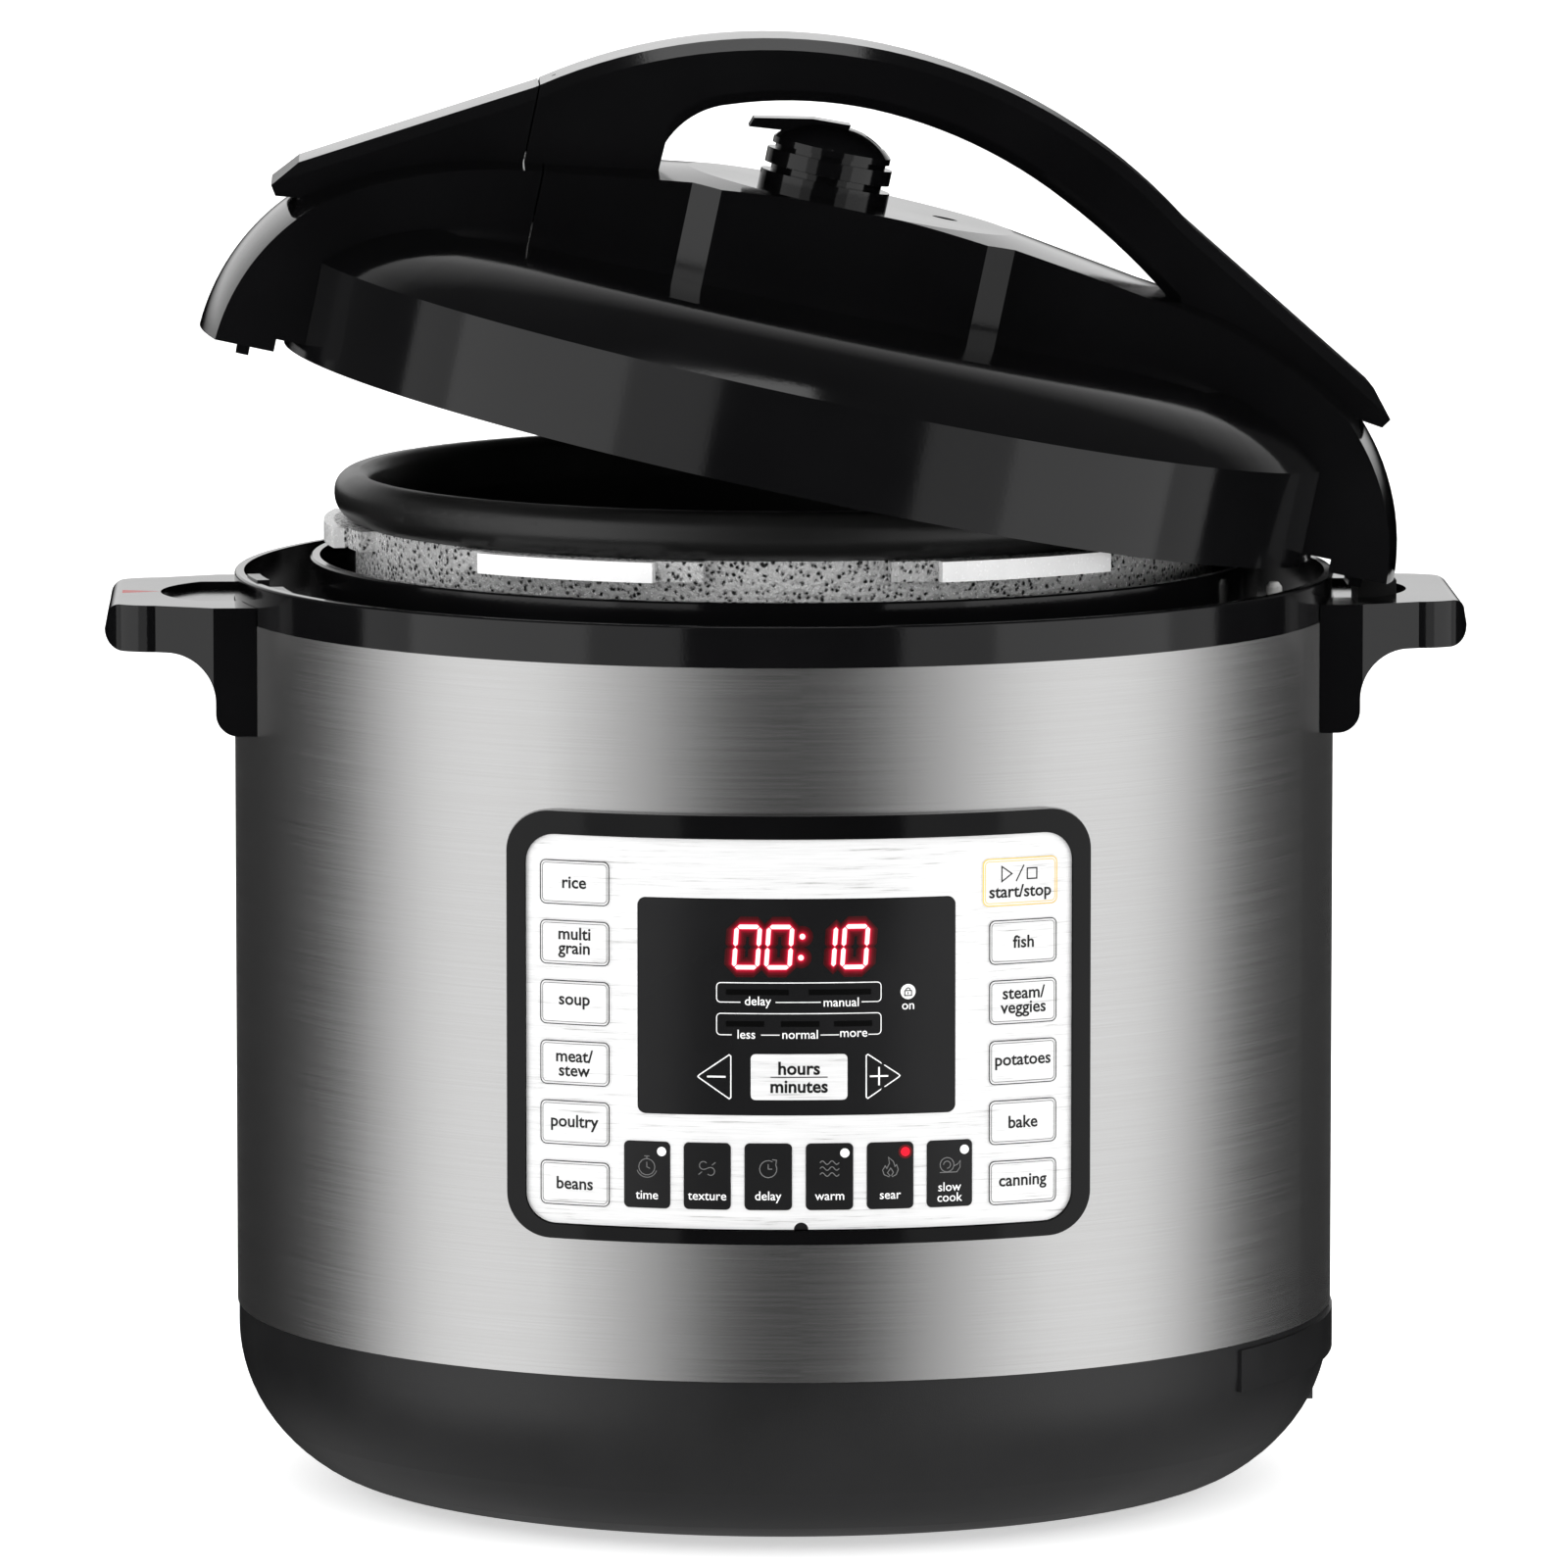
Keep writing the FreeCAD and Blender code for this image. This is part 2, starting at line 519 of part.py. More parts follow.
def make_panel():
    floor_in = "shell_radius + fit_gap"
    floor_out = f"{floor_in} + bezel_floor"
    overlay_in = f"{floor_out} + membrane_thick"
    window = rounded("window_width + 0.4", "window_height + 0.4", "window_corner",
                     "panel_middle + window_rise", "window_side")
    inset_width = "bezel_width - 2 * bezel_rim"
    inset_height = "bezel_height - 2 * bezel_rim"
    inset = rounded(inset_width, inset_height, "bezel_corner - 4", "panel_middle + overlay_rise")
    bezel_body = curved_plate(floor_in, "shell_radius + bezel_proud", "bezel_width", "bezel_height",
                              "bezel_corner", "panel_middle")
    display_way = rounded("display_width + 1", "display_height + 1", "1", "panel_middle + window_rise")
    tray = common(tube("shell_radius + 30", floor_out, "bezel_height + 20", z="panel_middle - 90"),
                  padded("front", [inset], "shell_radius + 20"))
    well = padded("front", [display_way], "shell_radius + 20")
    node("panel_bezel", cut(bezel_body, tray, well))
    sheet_width = f"{inset_width} - 0.6"
    sheet_height = f"{inset_height} - 0.6"
    middle = "panel_middle + overlay_rise"
    node("keypad_membrane", curved_plate(floor_out, overlay_in, sheet_width, sheet_height,
                                         "bezel_corner - 4.3", middle, [window]))
    face = curved_plate(overlay_in, f"{overlay_in} + overlay_thick", sheet_width, sheet_height,
                        "bezel_corner - 4.3", middle, [window])
    notch = cylinder("notch_radius", "40", y="-shell_radius - 30",
                     z="panel_middle + overlay_rise - bezel_height / 2 + bezel_rim + 0.3", along="y")
    node("panel_overlay", cut(face, notch))
    glass = padded("front", [rounded("window_width", "window_height", "window_corner - 0.2",
                                     "panel_middle + window_rise", "window_side")], "shell_radius + 20")
    node("display_window", common(tube(f"{floor_out} + window_thick", floor_out, "window_height + 20",
                                       z="panel_middle + window_rise - window_height / 2 - 10"), glass))


def make_electronics():
    board_y = "-board_front + board_thick / 2"
    board = box("board_width", "board_thick", "board_height", y=board_y,
                z="panel_middle - board_height / 2")
    node("control_board", board)
    module = box("display_width", "display_depth", "display_height",
                 y="-board_front - display_depth / 2", z="panel_middle + window_rise - display_height / 2")
    node("display_module", module)
    node("buzzer", cylinder("buzzer_radius", "buzzer_height", "board_width / 2 - 16",
                            "-board_front - buzzer_height", "panel_middle - 40", "y"))
    brackets = []
    for side in (-1, 1):
        for up in (-1, 1):
            spot = f"{side} * (board_width / 2 - 5)"
            height = f"panel_middle + {up} * (board_height / 2 - 8)"
            brackets.append(box("6", "12", "6", spot, "-board_front - 6", f"{height} - 3"))
    trimmed = common(compound(brackets), cylinder("shell_radius", "300"))
    node("board_brackets", trimmed)


def make_power_board():
    top = "power_low + board_thick"
    node("power_board", box("power_length", "power_width", "board_thick", z="power_low"))
    node("power_relay", box("relay_length", "relay_width", "relay_height", "power_length / 2 - 20",
                            "power_width / 2 - 12", top))
    node("transformer", box("transformer_length", "transformer_width", "transformer_height",
                            "-power_length / 2 + 26", "0", top))
    node("capacitors", compound([
        cylinder("capacitor_radius", "capacitor_height", "4", f"{k} * 12 - 12", top) for k in range(3)
    ]))


def make_inlet():
    """A recessed three-pin socket in the right side of the base."""
    back = "inlet_mouth - inlet_depth"
    shell = box("inlet_depth", "inlet_width", "inlet_height", "inlet_mouth - inlet_depth / 2", "0",
                "inlet_bottom")
    hollow = box("inlet_depth", "inlet_width - 2 * inlet_wall", "inlet_height - 2 * inlet_wall",
                 "inlet_mouth - inlet_depth / 2 + 3", "0", "inlet_bottom + inlet_wall")
    slots = []
    pins = []
    for y, z in ((-6.5, -1.5), (0.0, 3.0), (6.5, -1.5)):
        height = f"inlet_bottom + inlet_height / 2 + {z} - 2"
        slots.append(box("8", "2.2", "4.2", f"{back}", str(y), f"{height} - 0.1"))
        pins.append(box("13", "2", "4", f"{back} + 5", str(y), height))
    node("inlet_socket", cut(shell, hollow, *slots))
    node("inlet_pins", compound(pins))


# ---------------------------------------------------------------- heater and vessel
def make_heat_shield():
    shield = turned([
        ("shield_hole", "shield_bottom"),
        ("shield_radius", "shield_bottom"),
        ("shield_radius", "ring_bottom"),
        ("shield_radius - shield_wall", "ring_bottom"),
        ("shield_radius - shield_wall", "shield_bottom + shield_wall"),
        ("shield_hole", "shield_bottom + shield_wall"),
    ])
    node("heat_shield", shield)
    posts = around(lambda: cylinder("7", "vessel_bottom - shield_bottom - shield_wall",
                                    "vessel_radius - 30", z="shield_bottom + shield_wall"),
                   (30, 150, 270))
    node("vessel_supports", compound(posts))


def flange_teeth():
    """Six bayonet teeth with a lower step at each side, on the vessel's rim."""
    height = "vessel_seat - flange_low"
    teeth = []
    for k in range(6):
        azimuth = f"tooth_pitch / 2 + tooth_pitch * {k}"
        teeth.append(sector("flange_radius", "flange_root - 2", height, "flange_low", "tooth_half", azimuth))
        teeth.append(sector("flange_step_radius", "flange_root - 2", height, "flange_low",
                            "tooth_step_half", azimuth))
    return teeth


def make_vessel():
    wall = turned([
        ("0", "vessel_bottom"),
        ("vessel_radius - 12", "vessel_bottom", "12"),
        ("vessel_radius", "vessel_bottom + 12"),
        ("vessel_radius", "flange_low - 4"),
        ("flange_root", "flange_low"),
        ("flange_root", "vessel_seat"),
        ("vessel_radius - vessel_wall", "vessel_seat"),
        ("vessel_radius - vessel_wall", "vessel_bottom + 12", "-(12 - vessel_wall)"),
        ("vessel_radius - 12", "vessel_bottom + vessel_wall"),
        ("0", "vessel_bottom + vessel_wall"),
    ])
    centre_way = cylinder("sensor_hole + 3", "10", z="vessel_bottom - 2")
    legs = [cylinder("element_radius + 1", "10", f"{side} * element_leg_gap / 2", "-element_circle",
                     "vessel_bottom - 2") for side in (-1, 1)]
    node("outer_pot", cut(fuse(wall, *flange_teeth()), centre_way, *legs))


def make_heater():
    element_z = "plate_low - element_radius"
    plate = turned([
        ("sensor_hole", "plate_low"),
        ("plate_radius - 3", "plate_low", "3"),
        ("plate_radius", "plate_low + 3"),
        ("plate_radius", "plate_high - 3", "3"),
        ("plate_radius - 3", "plate_high"),
        ("sensor_hole", "plate_high"),
    ])
    feet = around(lambda: cylinder("5", "plate_low - vessel_bottom - vessel_wall", "plate_radius - 12",
                                   z="vessel_bottom + vessel_wall"), (0, 120, 240))
    node("heating_plate", fuse(plate, *feet))
    ring = tie(doc.addObject("Part::Torus", "ring"), Radius1="element_circle", Radius2="element_radius")
    move(ring, z=element_z)
    gap = box("element_leg_gap - 2 * element_radius", "30", "30", y="-element_circle", z="plate_low - 20")
    legs = [cylinder("element_radius - 1", "16", f"{side} * element_leg_gap / 2", "-element_circle",
                     "plate_low - element_radius - 16") for side in (-1, 1)]
    node("heating_element", fuse(cut(ring, gap), *legs))


def coil(radius, wire, height, turns):
    """A coil spring made of tilted half turns that run smoothly into each other."""
    rise = height / (2 * turns)
    halves = []
    for k in range(2 * turns):
        side = 1 if k % 2 == 0 else -1
        start = FreeCAD.Vector(side * radius, 0, k * rise)
        middle = FreeCAD.Vector(0, 0, (k + 0.5) * rise)
        axis = FreeCAD.Vector(side * rise / (2 * radius), 0, 1)
        section = Part.Face(Part.Wire(Part.makeCircle(wire, start, FreeCAD.Vector(0, 1, 0))))
        halves.append(section.revolve(middle, axis, 180))
    return halves[0].multiFuse(halves[1:]).removeSplitter()


def make_sensor():
    """The spring-loaded temperature sensor that presses on the pot's underside."""
    top = "plate_high - 0.3"
    cap = turned([
        ("0", f"{top} - sensor_cap"),
        ("3", f"{top} - sensor_cap"),
        ("3", f"{top} - sensor_cap + 7.5"),
        ("sensor_radius - 0.8", f"{top} - sensor_cap + 7.5"),
        ("sensor_radius - 0.8", f"{top} - sensor_cap"),
        ("sensor_radius", f"{top} - sensor_cap"),
        ("sensor_radius", f"{top} - 1", "1"),
        ("sensor_radius - 1", top),
        ("0", top),
    ])
    node("temperature_sensor", cap)
    seat = "vessel_bottom - 4"
    holder = turned([
        ("0", seat),
        ("sensor_hole + 8", seat),
        ("sensor_hole + 8", "vessel_bottom"),
        ("sensor_hole + 2.6", "vessel_bottom"),
        ("sensor_hole + 2.6", "vessel_bottom - 2"),
        ("0", "vessel_bottom - 2"),
    ])
    node("sensor_holder", holder)
    spring_low = "vessel_bottom - 2 + spring_wire"
    height = value(f"{top} - sensor_cap + 7.5 - spring_wire - ({spring_low})") - 0.1
    spring = doc.addObject("Part::Feature", "spring")
    spring.Shape = coil(value("spring_radius"), value("spring_wire"), height, int(value("spring_turns")))
    node("sensor_spring", spring, FreeCAD.Placement(FreeCAD.Vector(0, 0, value(spring_low) + 0.05),
                                                    FreeCAD.Rotation()))


def make_safety_parts():
    fuse_body = cylinder("4", "22", "-52", "-11", "vessel_bottom - 4.5", "y")
    clamp = box("14", "12", "1", "-52", "0", "vessel_bottom - 1")
    node("thermal_fuse", fuse(fuse_body, clamp))
    body = box("20", "12", "6", "52", "0", "vessel_bottom - 7")
    button = cylinder("2.5", "1.2", "52", "0", "vessel_bottom - 1.2")
    node("pressure_switch", fuse(body, button))


def make_inner_pot():
    outer = "pot_radius"
    bore = "pot_radius - pot_wall"
    rim_low = "vessel_seat"
    node("inner_pot", turned([
        ("0", "plate_high"),
        (f"{outer} - pot_corner", "plate_high", "pot_corner"),
        (outer, "plate_high + pot_corner"),
        (outer, f"{rim_low} - 3"),
        (f"{outer} + 1.6", rim_low),
        ("rim_radius - 6.4", rim_low, "rim_curve"),
        ("rim_radius", "rim_top - 6", "6"),
        ("rim_radius - 6", "rim_top"),
        ("rim_bore + 3", "rim_top", "4.5"),
        ("rim_bore - 0.3", "rim_top - 4"),
        (bore, "rim_top - 14"),
        (bore, "plate_high + pot_corner", "-(pot_corner - pot_wall)"),
        (f"{outer} - pot_corner", "plate_high + pot_wall"),
        ("0", "plate_high + pot_wall"),
    ]))


# ---------------------------------------------------------------- condensation cup
def make_condensation_cup():
    plate_y = "shell_radius + fit_gap"
    front = f"{plate_y} + cup_bracket"
    tray = box("cup_width", "30", "cup_high - cup_low + 8", y=f"{front} - 15", z="cup_low")
    shell = cylinder("shell_radius + fit_gap", "120", z="cup_low - 10")
    trough = box("cup_width", "16", "2", y=f"{front} + 5", z="cup_high + 6")
    pillar = box("cup_width", "30", "shell_top - cup_high - 6", y=f"{front} - 15", z="cup_high + 6")
    lip = box("cup_width / 2", "2", "5", y=f"{front} + 11", z="cup_high + 6")
    back_plate = common(cut(fuse(tray, pillar, trough, lip), shell),
                        box("cup_width", "60", "200", y="shell_radius + 12", z="cup_low - 10"))
    drip = cylinder("3", "10", y=f"{front} + 5", z="cup_high + 2")
    node("cup_bracket", cut(back_plate, drip))
    gap_front = f"{front} + running_gap"
    corner = "6"
    outside = [
        ("-cup_width / 2", gap_front),
        ("cup_width / 2", gap_front),
        ("cup_width / 2", f"{gap_front} + cup_depth - {corner}", corner),
        (f"cup_width / 2 - {corner}", f"{gap_front} + cup_depth"),
        (f"-cup_width / 2 + {corner}", f"{gap_front} + cup_depth", corner),
        ("-cup_width / 2", f"{gap_front} + cup_depth - {corner}"),
    ]
    inside = [
        ("-cup_width / 2 + cup_wall", f"{gap_front} + cup_wall"),
        ("cup_width / 2 - cup_wall", f"{gap_front} + cup_wall"),
        ("cup_width / 2 - cup_wall", f"{gap_front} + cup_depth - {corner}", f"{corner} - cup_wall"),
        (f"cup_width / 2 - {corner}", f"{gap_front} + cup_depth - cup_wall"),
        (f"-cup_width / 2 + {corner}", f"{gap_front} + cup_depth - cup_wall", f"{corner} - cup_wall"),
        ("-cup_width / 2 + cup_wall", f"{gap_front} + cup_depth - {corner}"),
    ]
    cup = padded("top", [outside], "cup_high - cup_low", "cup_low")
    hollow = padded("top", [inside], "cup_high - cup_low", "cup_low + cup_wall")
    node("condensation_cup", cut(cup, hollow))


# ---------------------------------------------------------------- lid
def cover_outline(inward):
    """Half section of the lid's outer shell: skirt, rounded shoulder, and a sunk, crowned disc."""
    rise, run = "(disc_height - disc_edge)", "(shoulder_radius - lip_width - disc_flat)"
    crown = f"({run}^2 + {rise}^2) / (2 * {rise})"
    if inward == "0":
        start = [("0", "0"), ("lid_radius", "0")]
        disc = [("shoulder_radius - lip_width", "shoulder_height"),
                ("shoulder_radius - lip_width", "disc_edge", crown),
                ("disc_flat", "disc_height"), ("0", "disc_height")]
    else:
        start = [("0", "-1"), (f"lid_radius - {inward}", "-1")]
        disc = [("shoulder_radius - lip_width", f"disc_edge - {inward}", f"{crown} - {inward}"),
                ("disc_flat", f"disc_height - {inward}"), ("0", f"disc_height - {inward}")]
        return start + [
            (f"lid_radius - {inward}", "skirt_height - 1.2", f"shoulder_curve - {inward}"),
            ("shoulder_radius + 3", f"disc_edge - {inward}"),
        ] + disc
    return start + [
        ("lid_radius", "skirt_height", "shoulder_curve"),
        ("shoulder_radius", "shoulder_height"),
    ] + disc


def make_lid_cover(place):
    bosses = around(lambda: cylinder("5", "4.2", "lid_screw_circle", z="dome_roof"), (45, 135, 225, 315))
    ways = around(lambda: cylinder("lid_screw_radius + fit_gap", "5", "lid_screw_circle",
                                   z="dome_roof - 1"), (45, 135, 225, 315))
    pipe_way = cylinder("pipe_radius + fit_gap", "20", "valve_x", z="disc_height - 10")
    float_way = cylinder("float_radius + 1.9", "20", "float_x", z="disc_height - 10")
    shell = cut(turned(cover_outline("0")), turned(cover_outline("lid_wall")))
    node("lid_cover", cut(fuse(shell, *bosses), pipe_way, float_way, *ways), place)


def make_dome(place):
    """The steel pressure dome with six teeth that pass under the vessel's flange."""
    inner = "dome_radius - dome_wall"
    dome = turned([
        (inner, "dome_low"),
        ("dome_radius", "dome_low"),
        ("dome_radius", "dome_roof - dome_corner", "dome_corner"),
        ("dome_radius - dome_corner", "dome_roof"),
        ("0", "dome_roof"),
        ("0", "dome_roof - dome_wall"),
        ("dome_radius - dome_corner", "dome_roof - dome_wall", "-(dome_corner - dome_wall)"),
        (inner, "dome_roof - dome_corner"),
    ])
    teeth = [
        sector(f"{inner} + 0.5", "lid_tooth_inner", "lid_tooth_high - lid_tooth_low", "lid_tooth_low",
               "lid_tooth_half", f"tooth_pitch * {k}") for k in range(6)
    ]
    ways = around(lambda: cylinder("lid_screw_radius + fit_gap", "6", "lid_screw_circle",
                                   z="dome_roof - 4"), (45, 135, 225, 315))
    pipe_way = cylinder("pipe_radius + fit_gap", "10", "valve_x", z="dome_roof - 5")
    float_way = cylinder("float_radius + running_gap", "10", "float_x", z="dome_roof - 5")
    node("lid_dome", cut(fuse(dome, *teeth), pipe_way, float_way, *ways), place)
    roof = "dome_roof - dome_wall - fit_gap"
    node("seal_rack", turned([
        ("rack_inner", f"{roof} - 1"),
        ("rack_outer - 1", f"{roof} - 1"),
        ("rack_outer - 1", "seal_low + 1"),
        ("rack_outer", "seal_low + 1"),
        ("rack_outer", roof),
        ("rack_inner", roof),
    ]), place)
    bend = "(dome_corner - dome_wall - running_gap)"
    bend_middle = "dome_radius - dome_corner"
    reach = f"sqrt({bend}^2 - (seal_low + 1 - dome_roof + dome_corner)^2)"
    node("sealing_ring", turned([
        ("rack_outer + running_gap", "seal_low + 2"),
        ("rack_outer + running_gap + 4", "seal_low"),
        (f"{bend_middle} + {reach} - 2", "seal_low"),
        (f"{bend_middle} + {reach}", "seal_low + 1", bend),
        (bend_middle, "dome_roof - dome_wall - running_gap"),
        ("rack_outer + running_gap", "dome_roof - dome_wall - running_gap"),
    ]), place)

    def lid_screw():
        underside = "dome_roof - dome_wall"
        head = cylinder("lid_screw_head", "2", "lid_screw_circle", z=f"{underside} - 2")
        shank = cylinder("lid_screw_radius", "5", "lid_screw_circle", z=f"{underside} - 0.2")
        socket = cylinder("1.4", "1.2", "lid_screw_circle", z=f"{underside} - 2.2")
        return cut(fuse(head, shank), socket)

    node("lid_screws", compound(around(lid_screw, (45, 135, 225, 315))), place)


def bridge_solid():
    """The bridge over the lid, before its hollows: a round-backed beam with a wider hub."""
    back = turned([
        ("0", "0"),
        ("foot_outer", "0", "foot_curve"),
        ("arm_bend", "arm_bend_height", "arm_curve"),
        ("arm_knee", "arm_knee_height"),
        ("crown_radius", "hub_top"),
        ("0", "hub_top"),
    ])
    plan = padded("top", [[
        ("-foot_outer - 5", "-foot_half"),
        ("-arm_bend", "-foot_half"),
        ("-arm_knee", "-arm_half"),
        ("-hub_reach", "-arm_half"),
        ("-hub_reach + hub_facet", "-hub_half"),
        ("hub_reach - hub_facet", "-hub_half"),
        ("hub_reach", "-arm_half"),
        ("arm_knee", "-arm_half"),
        ("arm_bend", "-foot_half"),
        ("foot_outer + 5", "-foot_half"),
        ("foot_outer + 5", "foot_half"),
        ("arm_bend", "foot_half"),
        ("arm_knee", "arm_half"),
        ("hub_reach", "arm_half"),
        ("hub_reach - hub_facet", "hub_half"),
        ("-hub_reach + hub_facet", "hub_half"),
        ("-hub_reach", "arm_half"),
        ("-arm_knee", "arm_half"),
        ("-arm_bend", "foot_half"),
        ("-foot_outer - 5", "foot_half"),
    ]], "hub_top + 10", "-1")
    return common(back, plan)


def make_bridge(place):
    cavity = box("2 * hub_cavity", "2 * hub_cavity", "hub_top - hub_roof - disc_height + 1",
                 z="disc_height - 1")
    collar_space = cylinder("foot_bore", "foot_step + 1", z="-1")
    pipe_way = cylinder("pipe_radius + fit_gap", "20", "valve_x", z="hub_top - 10")
    float_way = cylinder("float_radius + 1.3", "20", "float_x", z="hub_top - 10")
    hollowed = cut(bridge_solid(), turned(cover_outline("0")), collar_space, cavity, pipe_way, float_way)
    tabs = [
        box("tab_long", "2 * tab_half", "tab_deep + 1", f"{side} * (foot_bore + 1.5 + tab_long / 2)",
            "-foot_half + tab_half + 6", "-tab_deep") for side in (-1, 1)
    ]
    whole = fuse(hollowed, *tabs)
    left = box("300", "300", "200", "bridge_seam - 150", "0", "-20")
    right = box("300", "300", "200", "bridge_seam + seam_gap + 150", "0", "-20")
    node("lid_bridge", common(whole, right), place)
    node("lid_bridge_end", common(whole, left), place)


def make_arch(place):
    """The lifting handle: a flat arch over the hub, with its left end a piece of its own."""
    outer = [
        ("-arch_tip_x", "arch_tip_z"),
        ("-arch_tip_x + 2", "arch_tip_z - 3"),
        ("-arch_tip_x + 18", "arch_tip_z - 1"),
        ("-arm_bend + 40", "arch_tip_z + 3"),
        ("arm_bend - 40", "arch_tip_z + 3"),
        ("arch_tip_x - 18", "arch_tip_z - 1"),
        ("arch_tip_x - 2", "arch_tip_z - 3"),
        ("arch_tip_x", "arch_tip_z"),
        ("arch_tip_x - 7", "arch_tip_z + 8.5"),
        ("arch_shoulder_x", "arch_shoulder", "arch_curve"),
        ("-arch_shoulder_x", "arch_shoulder"),
        ("-arch_tip_x + 7", "arch_tip_z + 8.5"),
    ]
    opening = [
        ("-62", "arch_tip_z + 10"),
        ("106", "arch_tip_z + 10"),
        ("106", "68.5", "220"),
        ("64", "94.5", "150"),
        ("0", "arch_top - 18.8", "130"),
        ("-44", "102", "26"),
        ("-61", "86"),
    ]
    solid = padded("front", [outer, opening], "2 * arch_half", symmetric=True)
    bevelled = doc.addObject("Part::Chamfer", "bevelled")
    doc.recompute()
    bevelled.Base = solid
    bevel = value("arch_bevel")
    edges = []
    for index, edge in enumerate(solid.Shape.Edges, start=1):
        level = abs(abs(edge.BoundBox.YMin) - value("arch_half")) < 1e-3 and edge.BoundBox.YLength < 1e-3
        if level and edge.BoundBox.ZMax > value("arch_shoulder") - 1 and edge.BoundBox.ZMin > 56:
            edges.append((index, bevel, bevel))
    bevelled.Edges = edges
    seated = cut(bevelled, bridge_solid())
    left = box("300", "300", "200", "handle_seam - 150", "0", "-20")
    right = box("300", "300", "200", "handle_seam + seam_gap + 150", "0", "-20")
    pin_way = cylinder("pin_radius + fit_gap", "12", "handle_seam + 6", "0", "arch_shoulder - 8")
    node("handle_arch", cut(common(seated, right), pin_way), place)
    node("handle_end", common(seated, left), place)
    node("handle_pin", compound([cylinder("pin_radius", "10", "handle_seam + 6", "0",
                                          "arch_shoulder - 8")]), place)


def make_valves(place):
    """The steam release valve on the hub, the exhaust pipe under it, and the float valve."""
    spot = FreeCAD.Placement(FreeCAD.Vector(value("valve_x"), 0, 0), FreeCAD.Rotation())
    valve_place = place.multiply(spot)
    bore = "pipe_radius + running_gap"
    neck_top = "hub_top + valve_base_height + 2"
    node("valve_base", turned([
        ("pipe_radius + fit_gap", "hub_top"),
        ("valve_base_radius", "hub_top"),
        ("valve_base_radius", "hub_top + valve_base_height"),
        ("valve_neck", "hub_top + valve_base_height"),
        ("valve_neck", neck_top),
        ("pipe_radius + fit_gap", neck_top),
    ]), valve_place)
    knob = turned([
        ("0", "pipe_top + 1"),
        (bore, "pipe_top + 1"),
        (bore, "knob_low"),
        ("valve_ring", "knob_low"),
        ("valve_ring", "knob_ring_top"),
        ("valve_neck", "knob_ring_top"),
        ("valve_neck", "knob_neck_top"),
        ("knob_radius", "knob_neck_top"),
        ("knob_radius", "knob_neck_top + 2", "21"),
        ("3", "knob_top"),
        ("0", "knob_top"),
    ])
    lever = padded("front", [[
        ("-lever_reach", "knob_top - 5.6"),
        ("-6", "knob_top - 3.6"),
        ("3", "knob_top - 3"),
        ("4", "knob_top + 1.2"),
        ("-8", "knob_top + 0.8"),
        ("-lever_reach + 1", "knob_top - 5.6 + lever_thick - 1"),
    ]], "2 * lever_half", symmetric=True)
    slot = box("9", "9", "3.6", "14", "0", "knob_top - 4.4")
    node("valve_knob", cut(fuse(knob, lever), slot), valve_place)
    node("exhaust_pipe", turned([
        ("pipe_bore", "dome_roof - 6"),
        ("pipe_radius", "dome_roof - 6"),
        ("pipe_radius", "dome_roof"),
        ("pipe_radius + 4", "dome_roof"),
        ("pipe_radius + 4", "dome_roof + 1.5"),
        ("pipe_radius", "dome_roof + 1.5"),
        ("pipe_radius", "pipe_top"),
        ("pipe_bore", "pipe_top"),
    ]), valve_place)
    under = "dome_roof - dome_wall - fit_gap"
    filter_cap = turned([
        ("0", "filter_low"),
        ("filter_radius - 3", "filter_low", "3"),
        ("filter_radius", "filter_low + 3"),
        ("filter_radius", under),
        ("filter_radius - filter_wall", under),
        ("filter_radius - filter_wall", "filter_low + 3", "-(3 - filter_wall)"),
        ("filter_radius - 3", "filter_low + filter_wall"),
        ("0", "filter_low + filter_wall"),
    ])
    slits = around(lambda: box("8", "1.6", "5", "filter_radius", z="filter_low + 3.4"),
                   [30 * k for k in range(12)])
    node("vent_filter", cut(filter_cap, *slits), valve_place)
    float_spot = FreeCAD.Placement(FreeCAD.Vector(value("float_x"), 0, 0), FreeCAD.Rotation())
    float_place = place.multiply(float_spot)
    head_top = "float_low + 2"
    node("float_valve", turned([
        ("0", "float_low"),
        ("float_head", "float_low"),
        ("float_head", head_top),
        ("float_radius", head_top),
        ("float_radius", "dome_roof + running_gap"),
        ("float_radius + 1.5", "dome_roof + running_gap"),
        ("float_radius + 1.5", "dome_roof + running_gap + 2"),
        ("float_radius", "dome_roof + running_gap + 2"),
        ("float_radius", "float_top"),
        ("0", "float_top"),
    ]), float_place)
    node("float_gasket", turned([
        ("float_radius + fit_gap", f"{head_top}"),
        ("float_head", f"{head_top}"),
        ("float_head", f"{head_top} + 1.4"),
        ("float_radius + fit_gap", f"{head_top} + 1.4"),
    ]), float_place)


# ---------------------------------------------------------------- build, check, write
def check(obj):
    if "Invalid" in obj.State or "Error" in obj.State:
        raise RuntimeError(f"{obj.Name} ({obj.Label}) failed: {obj.State}")


